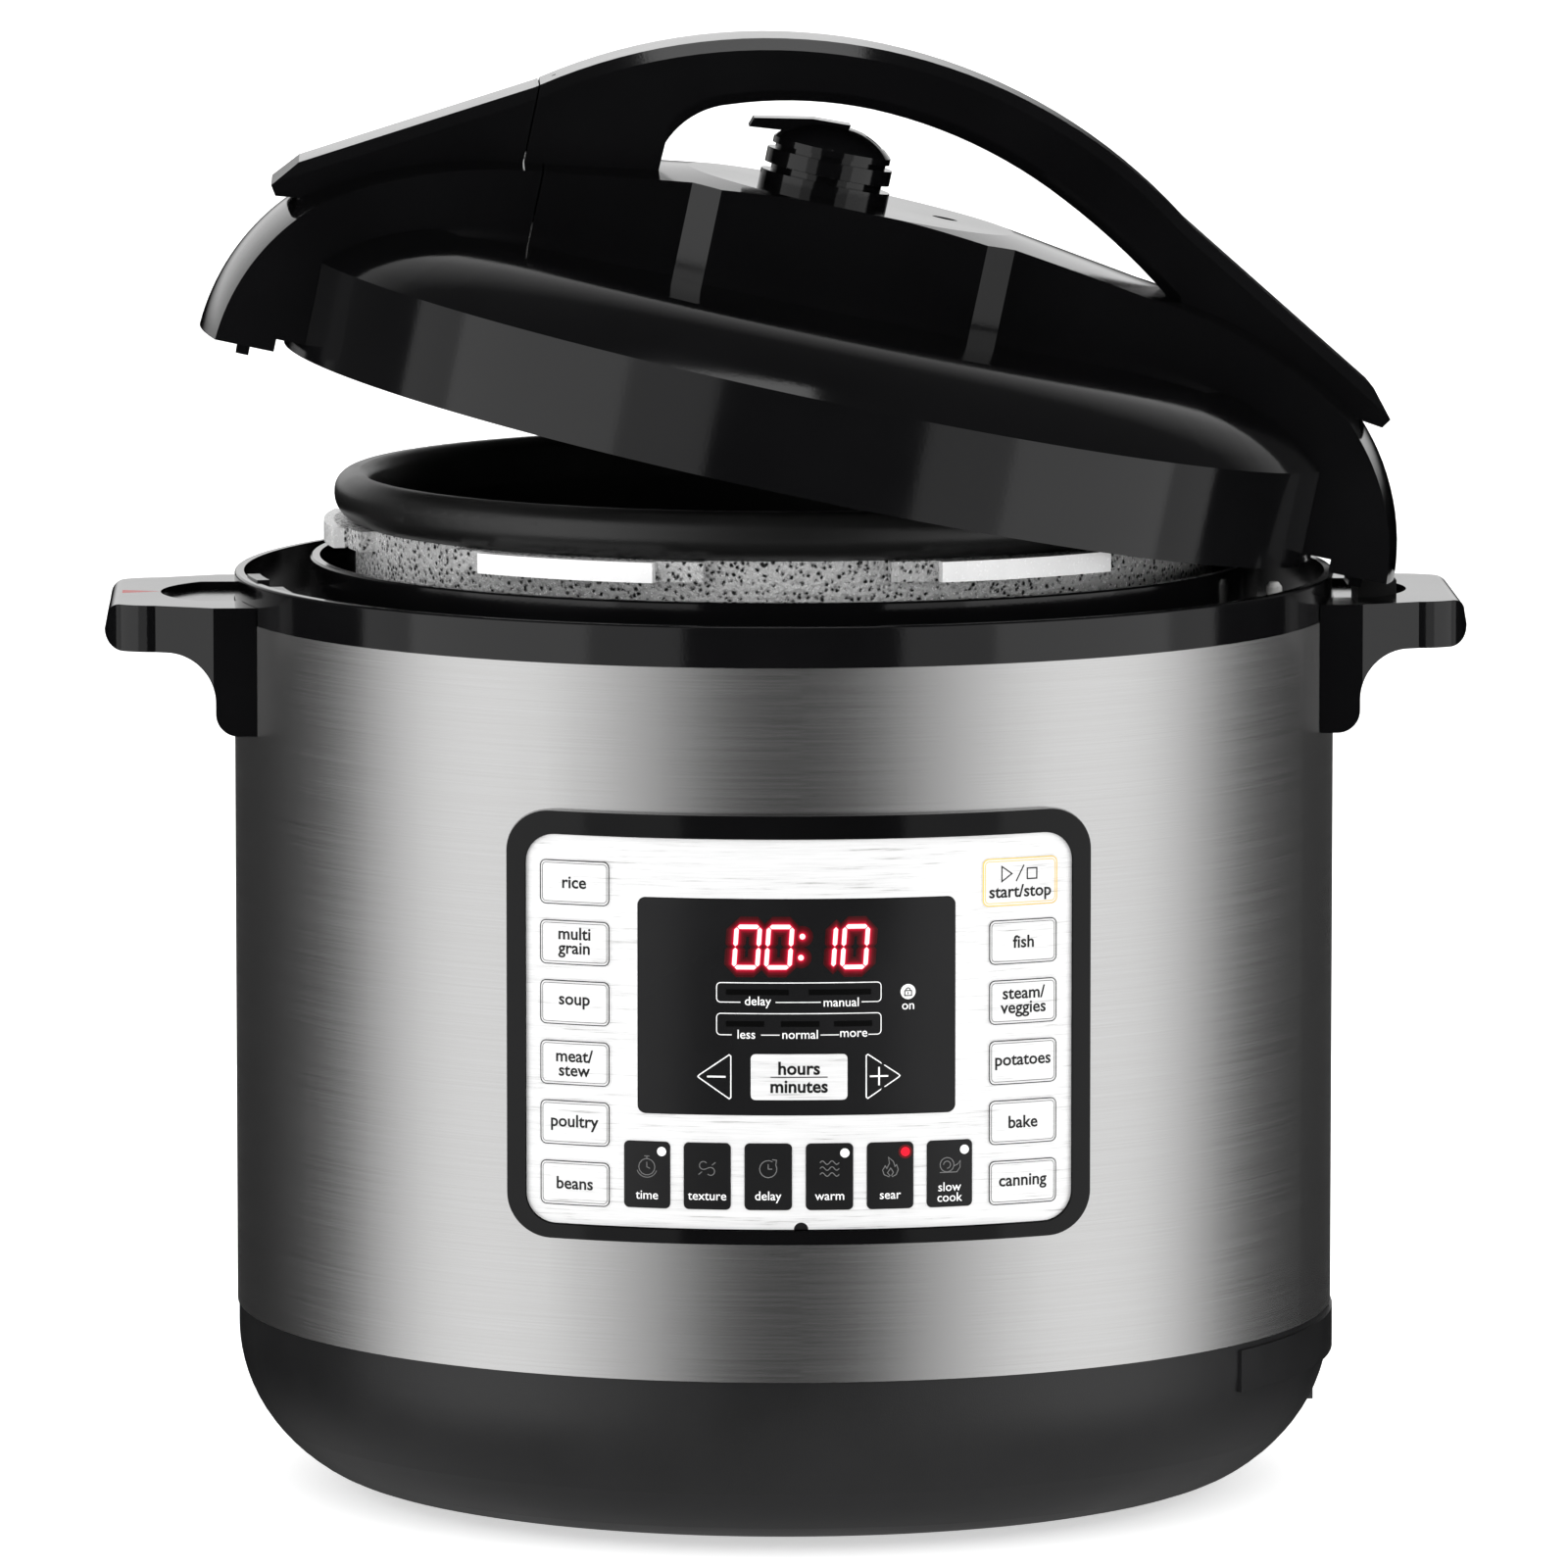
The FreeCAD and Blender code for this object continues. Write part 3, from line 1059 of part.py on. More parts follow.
def main():
    make_bottom_cover()
    make_feet_and_screws()
    make_shell()
    make_collar()
    make_channel_parts()
    make_side_handles()
    make_panel()
    make_electronics()
    make_power_board()
    make_inlet()
    make_heat_shield()
    make_vessel()
    make_heater()
    make_sensor()
    make_safety_parts()
    make_inner_pot()
    make_condensation_cup()
    lid = lid_placement()
    make_lid_cover(lid)
    make_dome(lid)
    make_bridge(lid)
    make_arch(lid)
    make_valves(lid)
    doc.recompute()
    for obj in doc.Objects:
        check(obj)
    for sketch, geo, middle in ARCS:
        arc = sketch.Geometry[geo]
        found = arc.value((arc.FirstParameter + arc.LastParameter) / 2)
        if (found - middle).Length > 0.01:
            raise RuntimeError(f"{sketch.Name} has an arc that turned over")
    for obj in NODES:
        if obj.Shape.isNull() or not obj.Shape.isValid():
            raise RuntimeError(f"{obj.Label} has no valid shape")
    os.makedirs("parts", exist_ok=True)
    for obj in NODES:
        obj.Shape.exportStep(os.path.join("parts", f"{obj.Label}.step"))
        print(obj.Label, len(obj.Shape.Solids), round(obj.Shape.Volume / 1000, 2), "cm3")


main()
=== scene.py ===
import math

import bmesh
import bpy
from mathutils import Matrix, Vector
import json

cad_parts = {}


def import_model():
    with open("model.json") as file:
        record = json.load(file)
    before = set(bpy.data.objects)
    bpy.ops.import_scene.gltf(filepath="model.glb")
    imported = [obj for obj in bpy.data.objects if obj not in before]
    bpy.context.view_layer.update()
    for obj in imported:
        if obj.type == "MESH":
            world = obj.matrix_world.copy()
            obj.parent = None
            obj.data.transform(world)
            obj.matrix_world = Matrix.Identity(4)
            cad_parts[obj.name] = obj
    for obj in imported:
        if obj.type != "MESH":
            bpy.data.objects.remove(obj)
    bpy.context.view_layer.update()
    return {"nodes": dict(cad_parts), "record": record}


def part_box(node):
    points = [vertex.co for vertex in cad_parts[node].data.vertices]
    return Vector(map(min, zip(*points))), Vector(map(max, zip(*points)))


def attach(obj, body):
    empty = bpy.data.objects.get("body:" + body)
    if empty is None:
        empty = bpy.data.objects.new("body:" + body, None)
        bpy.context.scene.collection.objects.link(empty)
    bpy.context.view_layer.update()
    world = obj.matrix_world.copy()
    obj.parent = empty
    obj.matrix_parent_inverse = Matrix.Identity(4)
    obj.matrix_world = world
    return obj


# The look of the electric pressure cooker: materials for every CAD node, the printed keypad,
# the lit display, the lights and the camera. Places are in metres, in the CAD model's frame.

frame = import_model()
NODES = frame["nodes"]

MM = 0.001
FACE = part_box("panel_overlay")[0].y * -1  # radius of the keypad's face
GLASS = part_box("display_window")[0].y * -1  # radius of the window's face
SUNK = 0.2 * MM  # how far a raised plate reaches below the face that it stands on
KEY_HIGH = FACE + 0.4 * MM
TIME_KEY_HIGH = GLASS + 0.3 * MM
PRINT = 0.06 * MM  # thickness of the print
THIN, KEY_WEIGHT, BOLD = 0.01 * MM, 0.09 * MM, 0.14 * MM  # how much letters are thickened
TOOTH_RADIUS = 0.1405  # the flange is machined outside this radius


# ---------------------------------------------------------------- materials
class Nodes:
    """A material's node tree with short ways to add and join nodes."""

    def __init__(self, name):
        self.material = bpy.data.materials.new(name)
        self.material.use_nodes = True
        self.tree = self.material.node_tree
        self.shader = self.tree.nodes["Principled BSDF"]

    def add(self, kind, **inputs):
        node = self.tree.nodes.new(kind)
        for key, value in inputs.items():
            self.put(node, key, value)
        return node

    def put(self, node, key, value):
        if hasattr(node, key) and not isinstance(value, bpy.types.NodeSocket):
            setattr(node, key, value)
            return
        socket = node.inputs[int(key[1:])] if key[0] == "_" and key[1:].isdigit() else node.inputs[key]
        if isinstance(value, bpy.types.NodeSocket):
            self.tree.links.new(value, socket)
        else:
            socket.default_value = value

    def set(self, **inputs):
        for key, value in inputs.items():
            self.put(self.shader, key.replace("_", " "), value)

    def place(self, stretch=(1, 1, 1)):
        """Object coordinates in metres, scaled along each axis."""
        coordinate = self.add("ShaderNodeTexCoord").outputs["Object"]
        mapping = self.add("ShaderNodeMapping")
        self.put(mapping, "Vector", coordinate)
        mapping.inputs["Scale"].default_value = stretch
        return mapping.outputs[0]

    def noise(self, scale, detail=2.0, rough=0.5, where=None):
        node = self.add("ShaderNodeTexNoise")
        self.put(node, "Vector", where or self.place())
        node.inputs["Scale"].default_value = scale
        node.inputs["Detail"].default_value = detail
        node.inputs["Roughness"].default_value = rough
        return node.outputs["Fac"]

    def between(self, amount, low, high, start=0.0, end=1.0):
        """Maps a value from start..end to low..high."""
        node = self.add("ShaderNodeMapRange")
        self.put(node, "Value", amount)
        for key, value in (("From Min", start), ("From Max", end), ("To Min", low), ("To Max", high)):
            node.inputs[key].default_value = value
        return node.outputs[0]

    def ramp(self, amount, *stops):
        node = self.add("ShaderNodeValToRGB")
        self.put(node, "Fac", amount)
        elements = node.color_ramp.elements
        while len(elements) < len(stops):
            elements.new(0.5)
        for element, (position, colour) in zip(elements, stops):
            element.position = position
            element.color = (*colour, 1)
        return node.outputs["Color"]

    def bump(self, height, distance, strength=1.0):
        node = self.add("ShaderNodeBump")
        self.put(node, "Height", height)
        node.inputs["Distance"].default_value = distance
        node.inputs["Strength"].default_value = strength
        self.put(self.shader, "Normal", node.outputs[0])


def plastic(name, colour, low, high, grain, depth, specular=0.5):
    """Moulded plastic: slight cloudiness in its gloss and a fine texture."""
    m = Nodes(name)
    cloud = m.noise(18, 3)
    darker = tuple(c * 0.8 for c in colour)
    lighter = tuple(min(1, c * 1.2) for c in colour)
    m.set(Base_Color=m.ramp(cloud, (0.3, darker), (0.7, lighter)))
    m.set(Roughness=m.between(cloud, low, high, 0.3, 0.7))
    m.shader.inputs["Specular IOR Level"].default_value = specular
    m.bump(m.noise(grain, 2), depth)
    return m.material


def radial_brushing(name, dark, light, low, high):
    """Steel brushed around the vertical axis: streaks that run round the casing."""
    m = Nodes(name)
    parts = m.add("ShaderNodeSeparateXYZ")
    m.put(parts, "Vector", m.place())
    angle = m.add("ShaderNodeMath", operation="ARCTAN2")
    m.put(angle, "_0", parts.outputs["X"])
    m.put(angle, "_1", parts.outputs["Y"])
    turned = m.add("ShaderNodeCombineXYZ")
    m.put(turned, "X", angle.outputs[0])
    m.put(turned, "Z", parts.outputs["Z"])
    stretch = m.add("ShaderNodeMapping")
    m.put(stretch, "Vector", turned.outputs[0])
    stretch.inputs["Scale"].default_value = (0.7, 1.0, 1100.0)
    streaks = m.noise(3.0, 5, 0.65, stretch.outputs[0])
    m.set(Base_Color=m.ramp(streaks, (0.3, dark), (0.7, light)))
    m.set(Roughness=m.between(streaks, low, high, 0.3, 0.7))
    m.set(Metallic=1.0)
    m.shader.inputs["Anisotropic"].default_value = 0.9
    tangent = m.add("ShaderNodeTangent", direction_type="RADIAL", axis="Z")
    m.put(m.shader, "Tangent", tangent.outputs[0])
    m.bump(streaks, 0.00001, 0.25)
    return m.material


def metal(name, dark, light, low, high, scale, depth, stretch=(1, 1, 1)):
    """Plain metal with a grain in its colour, roughness and height."""
    m = Nodes(name)
    grain = m.noise(scale, 4, 0.6, m.place(stretch))
    m.set(Base_Color=m.ramp(grain, (0.3, dark), (0.7, light)))
    m.set(Roughness=m.between(grain, low, high, 0.3, 0.7))
    m.set(Metallic=1.0)
    m.bump(grain, depth)
    return m.material


def cast_flange(name, tooth_radius):
    """Cast aluminium: rough recesses whose grain is painted with white glints on black, and machined bright
    faces beyond the given radius.
    """
    m = Nodes(name)
    cells = m.add("ShaderNodeTexVoronoi", feature="F1")
    m.put(cells, "Vector", m.place())
    cells.inputs["Scale"].default_value = 520
    fine = m.noise(900, 4, 0.7)
    both = m.add("ShaderNodeMath", operation="MULTIPLY_ADD")
    m.put(both, "_0", cells.outputs["Distance"])
    both.inputs[1].default_value = 0.9
    m.put(both, "_2", fine)
    radius = m.add("ShaderNodeVectorMath", operation="LENGTH")
    m.put(radius, "_0", m.place((1, 1, 0)))
    smooth = m.between(radius.outputs["Value"], 0.0, 1.0, tooth_radius, tooth_radius + 0.0004)
    # the recesses' grain runs from black to white in colour: painted glints that make them sparkle
    grain_and_painted_glints = m.ramp(both.outputs[0], (0.66, (0.02, 0.02, 0.02)), (0.8, (0.55, 0.55, 0.55)),
                          (0.9, (1.0, 1.0, 1.0)))
    blend = m.add("ShaderNodeMix", data_type="RGBA")
    m.put(blend, "Factor", smooth)
    m.put(blend, "_6", grain_and_painted_glints)
    m.put(blend, "_7", m.ramp(m.noise(90, 3), (0.3, (0.9, 0.9, 0.9)), (0.7, (0.98, 0.98, 0.98))))
    m.set(Base_Color=blend.outputs[2])
    m.set(Roughness=m.between(fine, 0.12, 0.32, 0.3, 0.7))
    m.set(Metallic=m.between(smooth, 0.5, 0.15))
    height = m.add("ShaderNodeMath", operation="MULTIPLY")
    m.put(height, "_0", both.outputs[0])
    m.put(height, "_1", m.between(smooth, 1.0, 0.02))
    m.bump(height.outputs[0], 0.0014)
    return m.material


def print_film(name):
    """The keypad's face: a pale film printed to look like straight brushed steel."""
    m = Nodes(name)
    wide = m.noise(60, 6, 0.7, m.place((0.5, 0.5, 14)))
    fine = m.noise(240, 3, 0.6, m.place((0.4, 0.4, 22)))
    both = m.add("ShaderNodeMath", operation="MULTIPLY_ADD")
    m.put(both, "_0", fine)
    both.inputs[1].default_value = 0.5
    m.put(both, "_2", wide)
    m.set(Base_Color=m.ramp(both.outputs[0], (0.52, (0.34, 0.335, 0.33)), (0.64, (0.66, 0.66, 0.66)),
                            (0.85, (0.74, 0.74, 0.74))))
    m.set(Metallic=0.12)
    m.set(Roughness=m.between(fine, 0.32, 0.5, 0.3, 0.7))
    m.bump(both.outputs[0], 0.00003, 0.5)
    return m.material


def glow(name, colour, strength, base=(0.02, 0.0, 0.0)):
    """A lamp that gives off light of its own, or print given a painted glow."""
    m = Nodes(name)
    haze = m.noise(400, 2)
    m.set(Base_Color=m.ramp(haze, (0.3, base), (0.7, tuple(c * 1.3 for c in base))))
    m.set(Roughness=m.between(haze, 0.25, 0.4))
    m.shader.inputs["Emission Color"].default_value = (*colour, 1)
    m.shader.inputs["Emission Strength"].default_value = strength
    return m.material


GLOSS = plastic("gloss_black", (0.0035, 0.0035, 0.0038), 0.07, 0.13, 900, 0.00001, 0.42)
BEZEL = plastic("bezel_black", (0.003, 0.003, 0.0032), 0.07, 0.13, 900, 0.00001, 0.2)
SATIN = plastic("satin_black", (0.010, 0.010, 0.0105), 0.34, 0.46, 2600, 0.00004, 0.42)
RING_BLACK = plastic("channel_black", (0.005, 0.005, 0.0055), 0.2, 0.3, 1500, 0.00002)
STEEL = radial_brushing("casing_steel", (0.55, 0.545, 0.54), (0.63, 0.63, 0.63), 0.235, 0.265)
BRIGHT = metal("bright_steel", (0.55, 0.55, 0.55), (0.72, 0.72, 0.72), 0.16, 0.3, 220, 0.00001,
               (1, 1, 6))
CAST = cast_flange("cast_aluminium", TOOTH_RADIUS)
HEATER = metal("element_tube", (0.12, 0.11, 0.10), (0.3, 0.29, 0.28), 0.4, 0.6, 160, 0.00003)
NONSTICK = plastic("nonstick_coating", (0.0085, 0.0085, 0.0085), 0.3, 0.42, 1800, 0.00005, 0.5)
SILICONE = plastic("silicone", (0.55, 0.55, 0.53), 0.45, 0.6, 500, 0.00004, 0.4)
RUBBER = plastic("foot_rubber", (0.014, 0.014, 0.014), 0.6, 0.8, 1400, 0.00006, 0.3)
FILM = print_film("print_film")
WINDOW = plastic("window_black", (0.0085, 0.0085, 0.009), 0.2, 0.26, 300, 0.000008, 0.3)
MEMBRANE = plastic("membrane", (0.006, 0.006, 0.006), 0.4, 0.5, 500, 0.00002)
BOARD = plastic("circuit_board", (0.02, 0.16, 0.06), 0.3, 0.45, 900, 0.00003)
PART = plastic("component_black", (0.03, 0.03, 0.033), 0.35, 0.5, 900, 0.00003)
COPPER = metal("contact_metal", (0.6, 0.46, 0.2), (0.85, 0.7, 0.35), 0.2, 0.35, 300, 0.00001)
CLEAR = plastic("clear_cup", (0.75, 0.8, 0.82), 0.06, 0.12, 300, 0.00001)
CLEAR.node_tree.nodes["Principled BSDF"].inputs["Transmission Weight"].default_value = 0.85
CLEAR.node_tree.nodes["Principled BSDF"].inputs["IOR"].default_value = 1.49
WHITE = plastic("white_plastic", (0.82, 0.82, 0.8), 0.3, 0.4, 600, 0.00001)
RED = plastic("red_mark", (0.62, 0.008, 0.01), 0.3, 0.4, 500, 0.00001)

KEY_INK = plastic("key_black", (0.0085, 0.0085, 0.009), 0.3, 0.38, 500, 0.00001, 0.3)
BAR_INK = plastic("bar_black", (0.0015, 0.0015, 0.0015), 0.4, 0.5, 500, 0.00001, 0.1)
INK = plastic("print_black", (0.006, 0.006, 0.006), 0.4, 0.5, 700, 0.00001, 0.3)
LINE_INK = plastic("print_grey", (0.025, 0.025, 0.025), 0.4, 0.5, 700, 0.00001, 0.3)
# white print with a painted glow: it gives off a little light though it is no lamp
GLOWING_WHITE_INK = glow("print_white_painted_glow", (1.0, 1.0, 1.0), 0.25, (0.62, 0.62, 0.62))
GREY_INK = plastic("print_pale_grey", (0.13, 0.13, 0.13), 0.4, 0.5, 700, 0.00001, 0.3)
GOLD_INK = plastic("print_gold", (0.75, 0.5, 0.08), 0.4, 0.5, 700, 0.00001, 0.3)
DIGIT = glow("digit_core", (1.0, 0.80, 0.82), 1.6)
HALOS = [glow(f"digit_halo_{n + 1}", (1.0, 0.008, 0.055), power)
         for n, power in enumerate((0.95, 0.42, 0.2, 0.09, 0.035))]
LAMP = glow("key_lamp", (1.0, 0.006, 0.03), 1.2)
LAMP_HALO = glow("key_lamp_halo", (1.0, 0.006, 0.03), 0.12)

LOOKS = {
    "gloss_black": GLOSS, "satin_black": SATIN, "shell_steel": STEEL, "bright_steel": BRIGHT,
    "cast_aluminium": CAST, "element_tube": HEATER, "nonstick": NONSTICK, "silicone": SILICONE,
    "foot_rubber": RUBBER, "panel_face": FILM, "panel_window": WINDOW, "membrane": MEMBRANE,
    "circuit_board": BOARD, "component_black": PART, "socket_black": PART,
    "contact_metal": COPPER, "cup_clear": CLEAR, "white_plastic": WHITE, "red_mark": RED,
}
OWN_LOOK = {"panel_bezel": BEZEL, "lid_stop": RING_BLACK}
SLOT_OF = {part["node"]: part["material_slot"] for part in frame["record"]["subparts"]}

for name, obj in NODES.items():
    obj.data.materials.clear()
    obj.data.materials.append(OWN_LOOK.get(name) or LOOKS[SLOT_OF[name]])
    for face in obj.data.polygons:
        face.material_index = 0


# ---------------------------------------------------------------- bent pieces on the panel
def finish_piece(name, mesh, material, body="base"):
    """Adds a mesh to the scene as a piece that rides on a body."""
    obj = bpy.data.objects.new(name, mesh)
    bpy.context.scene.collection.objects.link(obj)
    mesh.materials.append(material)
    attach(obj, body)
    return obj


def on_round(across, up, radius):
    """A point on the casing's round: distance across the front, height, radius (metres)."""
    angle = across / FACE
    return Vector((radius * math.sin(angle), -radius * math.cos(angle), up))


def outline(width, height, corner, per_corner=6, per_side=8):
    """Points round a rounded rectangle, anticlockwise, evenly spread along the sides."""
    w, h = width / 2 - corner, height / 2 - corner
    corners = ((w, -h, -90), (w, h, 0), (-w, h, 90), (-w, -h, 180))
    points = []
    for k, (cx, cy, start) in enumerate(corners):
        bend = arc(cx, cy, corner, start, start + 90, per_corner)
        points += bend
        last_x, last_y = bend[-1]
        nx, ny, nstart = corners[(k + 1) % 4]
        goal_x, goal_y = arc(nx, ny, corner, nstart, nstart, 1)[0]
        points += [(last_x + (goal_x - last_x) * i / per_side, last_y + (goal_y - last_y) * i / per_side)
                   for i in range(1, per_side)]
    return points


def degrees_across(angle):
    """Distance across the panel at an angle from its middle."""
    return math.radians(angle) * FACE


def arc(cx, cy, radius, start, end, steps=14):
    return [(cx + radius * math.cos(math.radians(start + (end - start) * i / steps)),
             cy + radius * math.sin(math.radians(start + (end - start) * i / steps)))
            for i in range(steps + 1)]


def disc(radius, steps):
    """One round shape, in the units of its radius."""
    return [arc(0, 0, radius, 0, 360, steps)[:-1]]


def metres(paths):
    """Paths of points in millimetres, turned into metres."""
    return [[(px * MM, py * MM) for px, py in path] for path in paths]


def face_outwards(mesh):
    bm = bmesh.new()
    bm.from_mesh(mesh)
    bmesh.ops.recalc_face_normals(bm, faces=bm.faces)
    bm.to_mesh(mesh)
    bm.free()


def mesh_from(name, vertices, faces):
    mesh = bpy.data.meshes.new(name)
    mesh.from_pydata(vertices, [], faces)
    face_outwards(mesh)
    return mesh


def ring(name, x, z, width, height, corner, line, low, high, material):
    """A thin raised line round a rounded rectangle."""
    outer = outline(width, height, corner)
    inner = outline(width - 2 * line, height - 2 * line, max(corner - line, 0.00005))
    vertices, faces = [], []
    for radius in (low, high):
        for points in (outer, inner):
            vertices += [on_round(x + px, z + py, radius) for px, py in points]
    n = len(outer)
    for i in range(n):
        j = (i + 1) % n
        faces.append((i, j, n + j, n + i))
        faces.append((2 * n + i, 2 * n + j, 3 * n + j, 3 * n + i))
        faces.append((i, j, 2 * n + j, 2 * n + i))
        faces.append((n + i, n + j, 3 * n + j, 3 * n + i))
    return finish_piece(name, mesh_from(name, vertices, faces), material)


def pad(name, x, z, width, height, corner, low, high, material, slot, bevel=0.00025):
    """A raised plate with a rounded edge, bent to the casing."""
    columns = 26
    loops = [(0.0, low), (0.0, high - bevel), (bevel * 0.35, high - bevel * 0.35), (bevel, high)]
    grids = []
    for inset, radius in loops:
        half, tall, round_ = width / 2 - inset, height / 2 - inset, max(corner - inset, 0.0001)
        row = []
        for i in range(columns + 1):
            t = i / columns
            across = -half * math.cos(math.pi * t)
            over = abs(across) - (half - round_)
            reach = tall - round_ + math.sqrt(max(round_ ** 2 - max(over, 0) ** 2, 0))
            row.append((across, reach))
        grids.append((row, radius))
    vertices, faces = [], []
    for row, radius in grids:
        for across, reach in row:
            vertices.append(on_round(x + across, z - reach, radius))
            vertices.append(on_round(x + across, z + reach, radius))
    stride = 2 * (columns + 1)
    for g in range(len(grids) - 1):
        a, b = g * stride, (g + 1) * stride
        for i in range(columns):
            k = 2 * i
            faces.append((a + k, a + k + 2, b + k + 2, b + k))
            faces.append((a + k + 1, a + k + 3, b + k + 3, b + k + 1))
        faces.append((a, a + 1, b + 1, b))
        e = 2 * columns
        faces.append((a + e, a + e + 1, b + e + 1, b + e))
    top = (len(grids) - 1) * stride
    for i in range(columns):
        k = 2 * i
        faces.append((top + k, top + k + 2, top + k + 3, top + k + 1))
        faces.append((k, k + 2, k + 3, k + 1))
    return finish_piece(name, mesh_from(name, vertices, faces), material)


def bend_mesh(mesh, x, z, low, high):
    """Wraps a flat mesh (drawn in its own XY, depth along Z from 0 to 1) onto the casing."""
    for v in mesh.vertices:
        radius = low + (high - low) * v.co.z
        v.co = on_round(x + v.co.x, z + v.co.y, radius)
    face_outwards(mesh)


def words(name, text, x, z, size, low, high, material, slot, weight):
    """Printed words, centred on a point of the panel."""
    curve = bpy.data.curves.new(name, "FONT")
    curve.body = text
    curve.size = size
    curve.align_x = "CENTER"
    curve.align_y = "CENTER"
    curve.space_line = 0.82
    curve.offset = weight
    curve.extrude = 0.5
    curve.resolution_u = 3
    holder = bpy.data.objects.new(name + "_curve", curve)
    bpy.context.scene.collection.objects.link(holder)
    bpy.context.view_layer.update()
    graph = bpy.context.evaluated_depsgraph_get()
    mesh = bpy.data.meshes.new_from_object(holder.evaluated_get(graph))
    bpy.data.objects.remove(holder)
    bpy.data.curves.remove(curve)
    mesh.name = name
    xs = [v.co.x for v in mesh.vertices]
    ys = [v.co.y for v in mesh.vertices]
    shift = ((max(xs) + min(xs)) / 2, (max(ys) + min(ys)) / 2)
    for v in mesh.vertices:
        v.co = Vector((v.co.x - shift[0], v.co.y - shift[1], v.co.z + 0.5))
    bend_mesh(mesh, x, z, low, high)
    mesh.materials.clear()
    return finish_piece(name, mesh, material)


def strokes(name, paths, x, z, line, low, high, material, slot):
    """Printed line work: each path is a list of points (metres from the centre)."""
    vertices, faces = [], []
    for path in paths:
        points = [Vector((px, py)) for px, py in path]
        closed = (points[0] - points[-1]).length < 1e-6
        if closed:
            points = points[:-1]
        n = len(points)
        start = len(vertices)
        for i, point in enumerate(points):
            before = points[(i - 1) % n] if closed or i else None
            after = points[(i + 1) % n] if closed or i < n - 1 else None
            into = (point - before).normalized() if before is not None else None
            out = (after - point).normalized() if after is not None else None
            along = into + out if into is not None and out is not None else (into or out)
            along = along.normalized() if along.length > 1e-9 else Vector((1, 0))
            side = Vector((-along.y, along.x))
            stretch = 1.0
            if into is not None and out is not None:
                stretch = min(1 / max(abs(side.dot(Vector((-into.y, into.x)))), 0.4), 2.0)
            for sign in (1, -1):
                spot = point + side * (sign * line / 2 * stretch)
                for radius in (low, high):
                    vertices.append(on_round(x + spot.x, z + spot.y, radius))
        count = n if closed else n - 1
        for i in range(count):
            a = start + 4 * i
            b = start + 4 * ((i + 1) % n)
            faces += [(a, b, b + 1, a + 1), (a + 2, b + 2, b + 3, a + 3),
                      (a + 1, b + 1, b + 3, a + 3), (a, b, b + 2, a + 2)]
        if not closed:
            last = start + 4 * (n - 1)
            faces += [(start, start + 1, start + 3, start + 2), (last, last + 1, last + 3, last + 2)]
    return finish_piece(name, mesh_from(name, vertices, faces), material)


def polygons(name, shapes, x, z, low, high, material, slot):
    """Flat filled shapes, bent to the casing."""
    vertices, faces = [], []
    for shape in shapes:
        start, n = len(vertices), len(shape)
        for radius in (low, high):
            vertices += [on_round(x + px, z + py, radius) for px, py in shape]
        faces.append(tuple(start + n + i for i in range(n)))
        faces.append(tuple(start + i for i in reversed(range(n))))
        for i in range(n):
            j = (i + 1) % n
            faces.append((start + i, start + j, start + n + j, start + n + i))
    return finish_piece(name, mesh_from(name, vertices, faces), material)


# ---------------------------------------------------------------- side keys
ROWS = [0.2083, 0.1900, 0.1717, 0.1533, 0.1350, 0.1166]
LEFT_WORDS = ["rice", "multi\ngrain", "soup", "meat/\nstew", "poultry", "beans"]
RIGHT_WORDS = ["start/stop", "fish", "steam/\nveggies", "potatoes", "bake", "canning"]
LEFT_ANGLE, RIGHT_ANGLE, START_ANGLE = -23.0, 22.82, 22.5
SIDE_KEY, START_KEY = (22.6 * MM, 13.6 * MM), (24.8 * MM, 14.6 * MM)
START_SIGN = [
    [(-6.2, -0.2), (-2.9, 2.1), (-6.2, 4.4), (-6.2, -0.2)],
    [(-1.5, -0.3), (1.1, 4.6)],
    [(2.2, 0.3), (5.4, 0.3), (5.4, 3.5), (2.2, 3.5), (2.2, 0.3)],
]


def side_key(tag, label, angle, height, size, edge, inner_edge, lift=0.0):
    """A pale key with a double printed edge and its word, lifted by some millimetres."""
    across = degrees_across(angle)
    wide, tall = size
    pad(f"key_{tag}", across, height, wide, tall, 2.0 * MM, FACE - SUNK, KEY_HIGH, FILM, "panel_face")
    ring(f"key_edge_{tag}", across, height, wide - 0.1 * MM, tall - 0.1 * MM, 1.9 * MM, 0.3 * MM,
         FACE, KEY_HIGH + PRINT, edge)
    ring(f"key_line_{tag}", across, height, wide - 1.5 * MM, tall - 1.7 * MM, 1.3 * MM, 0.2 * MM,
         FACE, KEY_HIGH + PRINT, inner_edge)
    words(f"word_{tag}", label, across, height + lift * MM, 5.3 * MM, FACE, KEY_HIGH + PRINT, INK,
          "component_black", KEY_WEIGHT)


for side, angle, labels in (("left", LEFT_ANGLE, LEFT_WORDS), ("right", RIGHT_ANGLE, RIGHT_WORDS)):
    for row, (height, label) in enumerate(zip(ROWS, labels), start=1):
        if label == "start/stop":
            side_key(f"{side}_{row}", label, START_ANGLE, height, START_KEY, GOLD_INK, GOLD_INK, -3.4)
            strokes("start_sign", metres(START_SIGN), degrees_across(START_ANGLE), height + 0.4 * MM,
                    0.4 * MM, FACE, KEY_HIGH + PRINT, INK, "component_black")
        else:
            side_key(f"{side}_{row}", label, angle, height, SIDE_KEY, LINE_INK, GREY_INK)


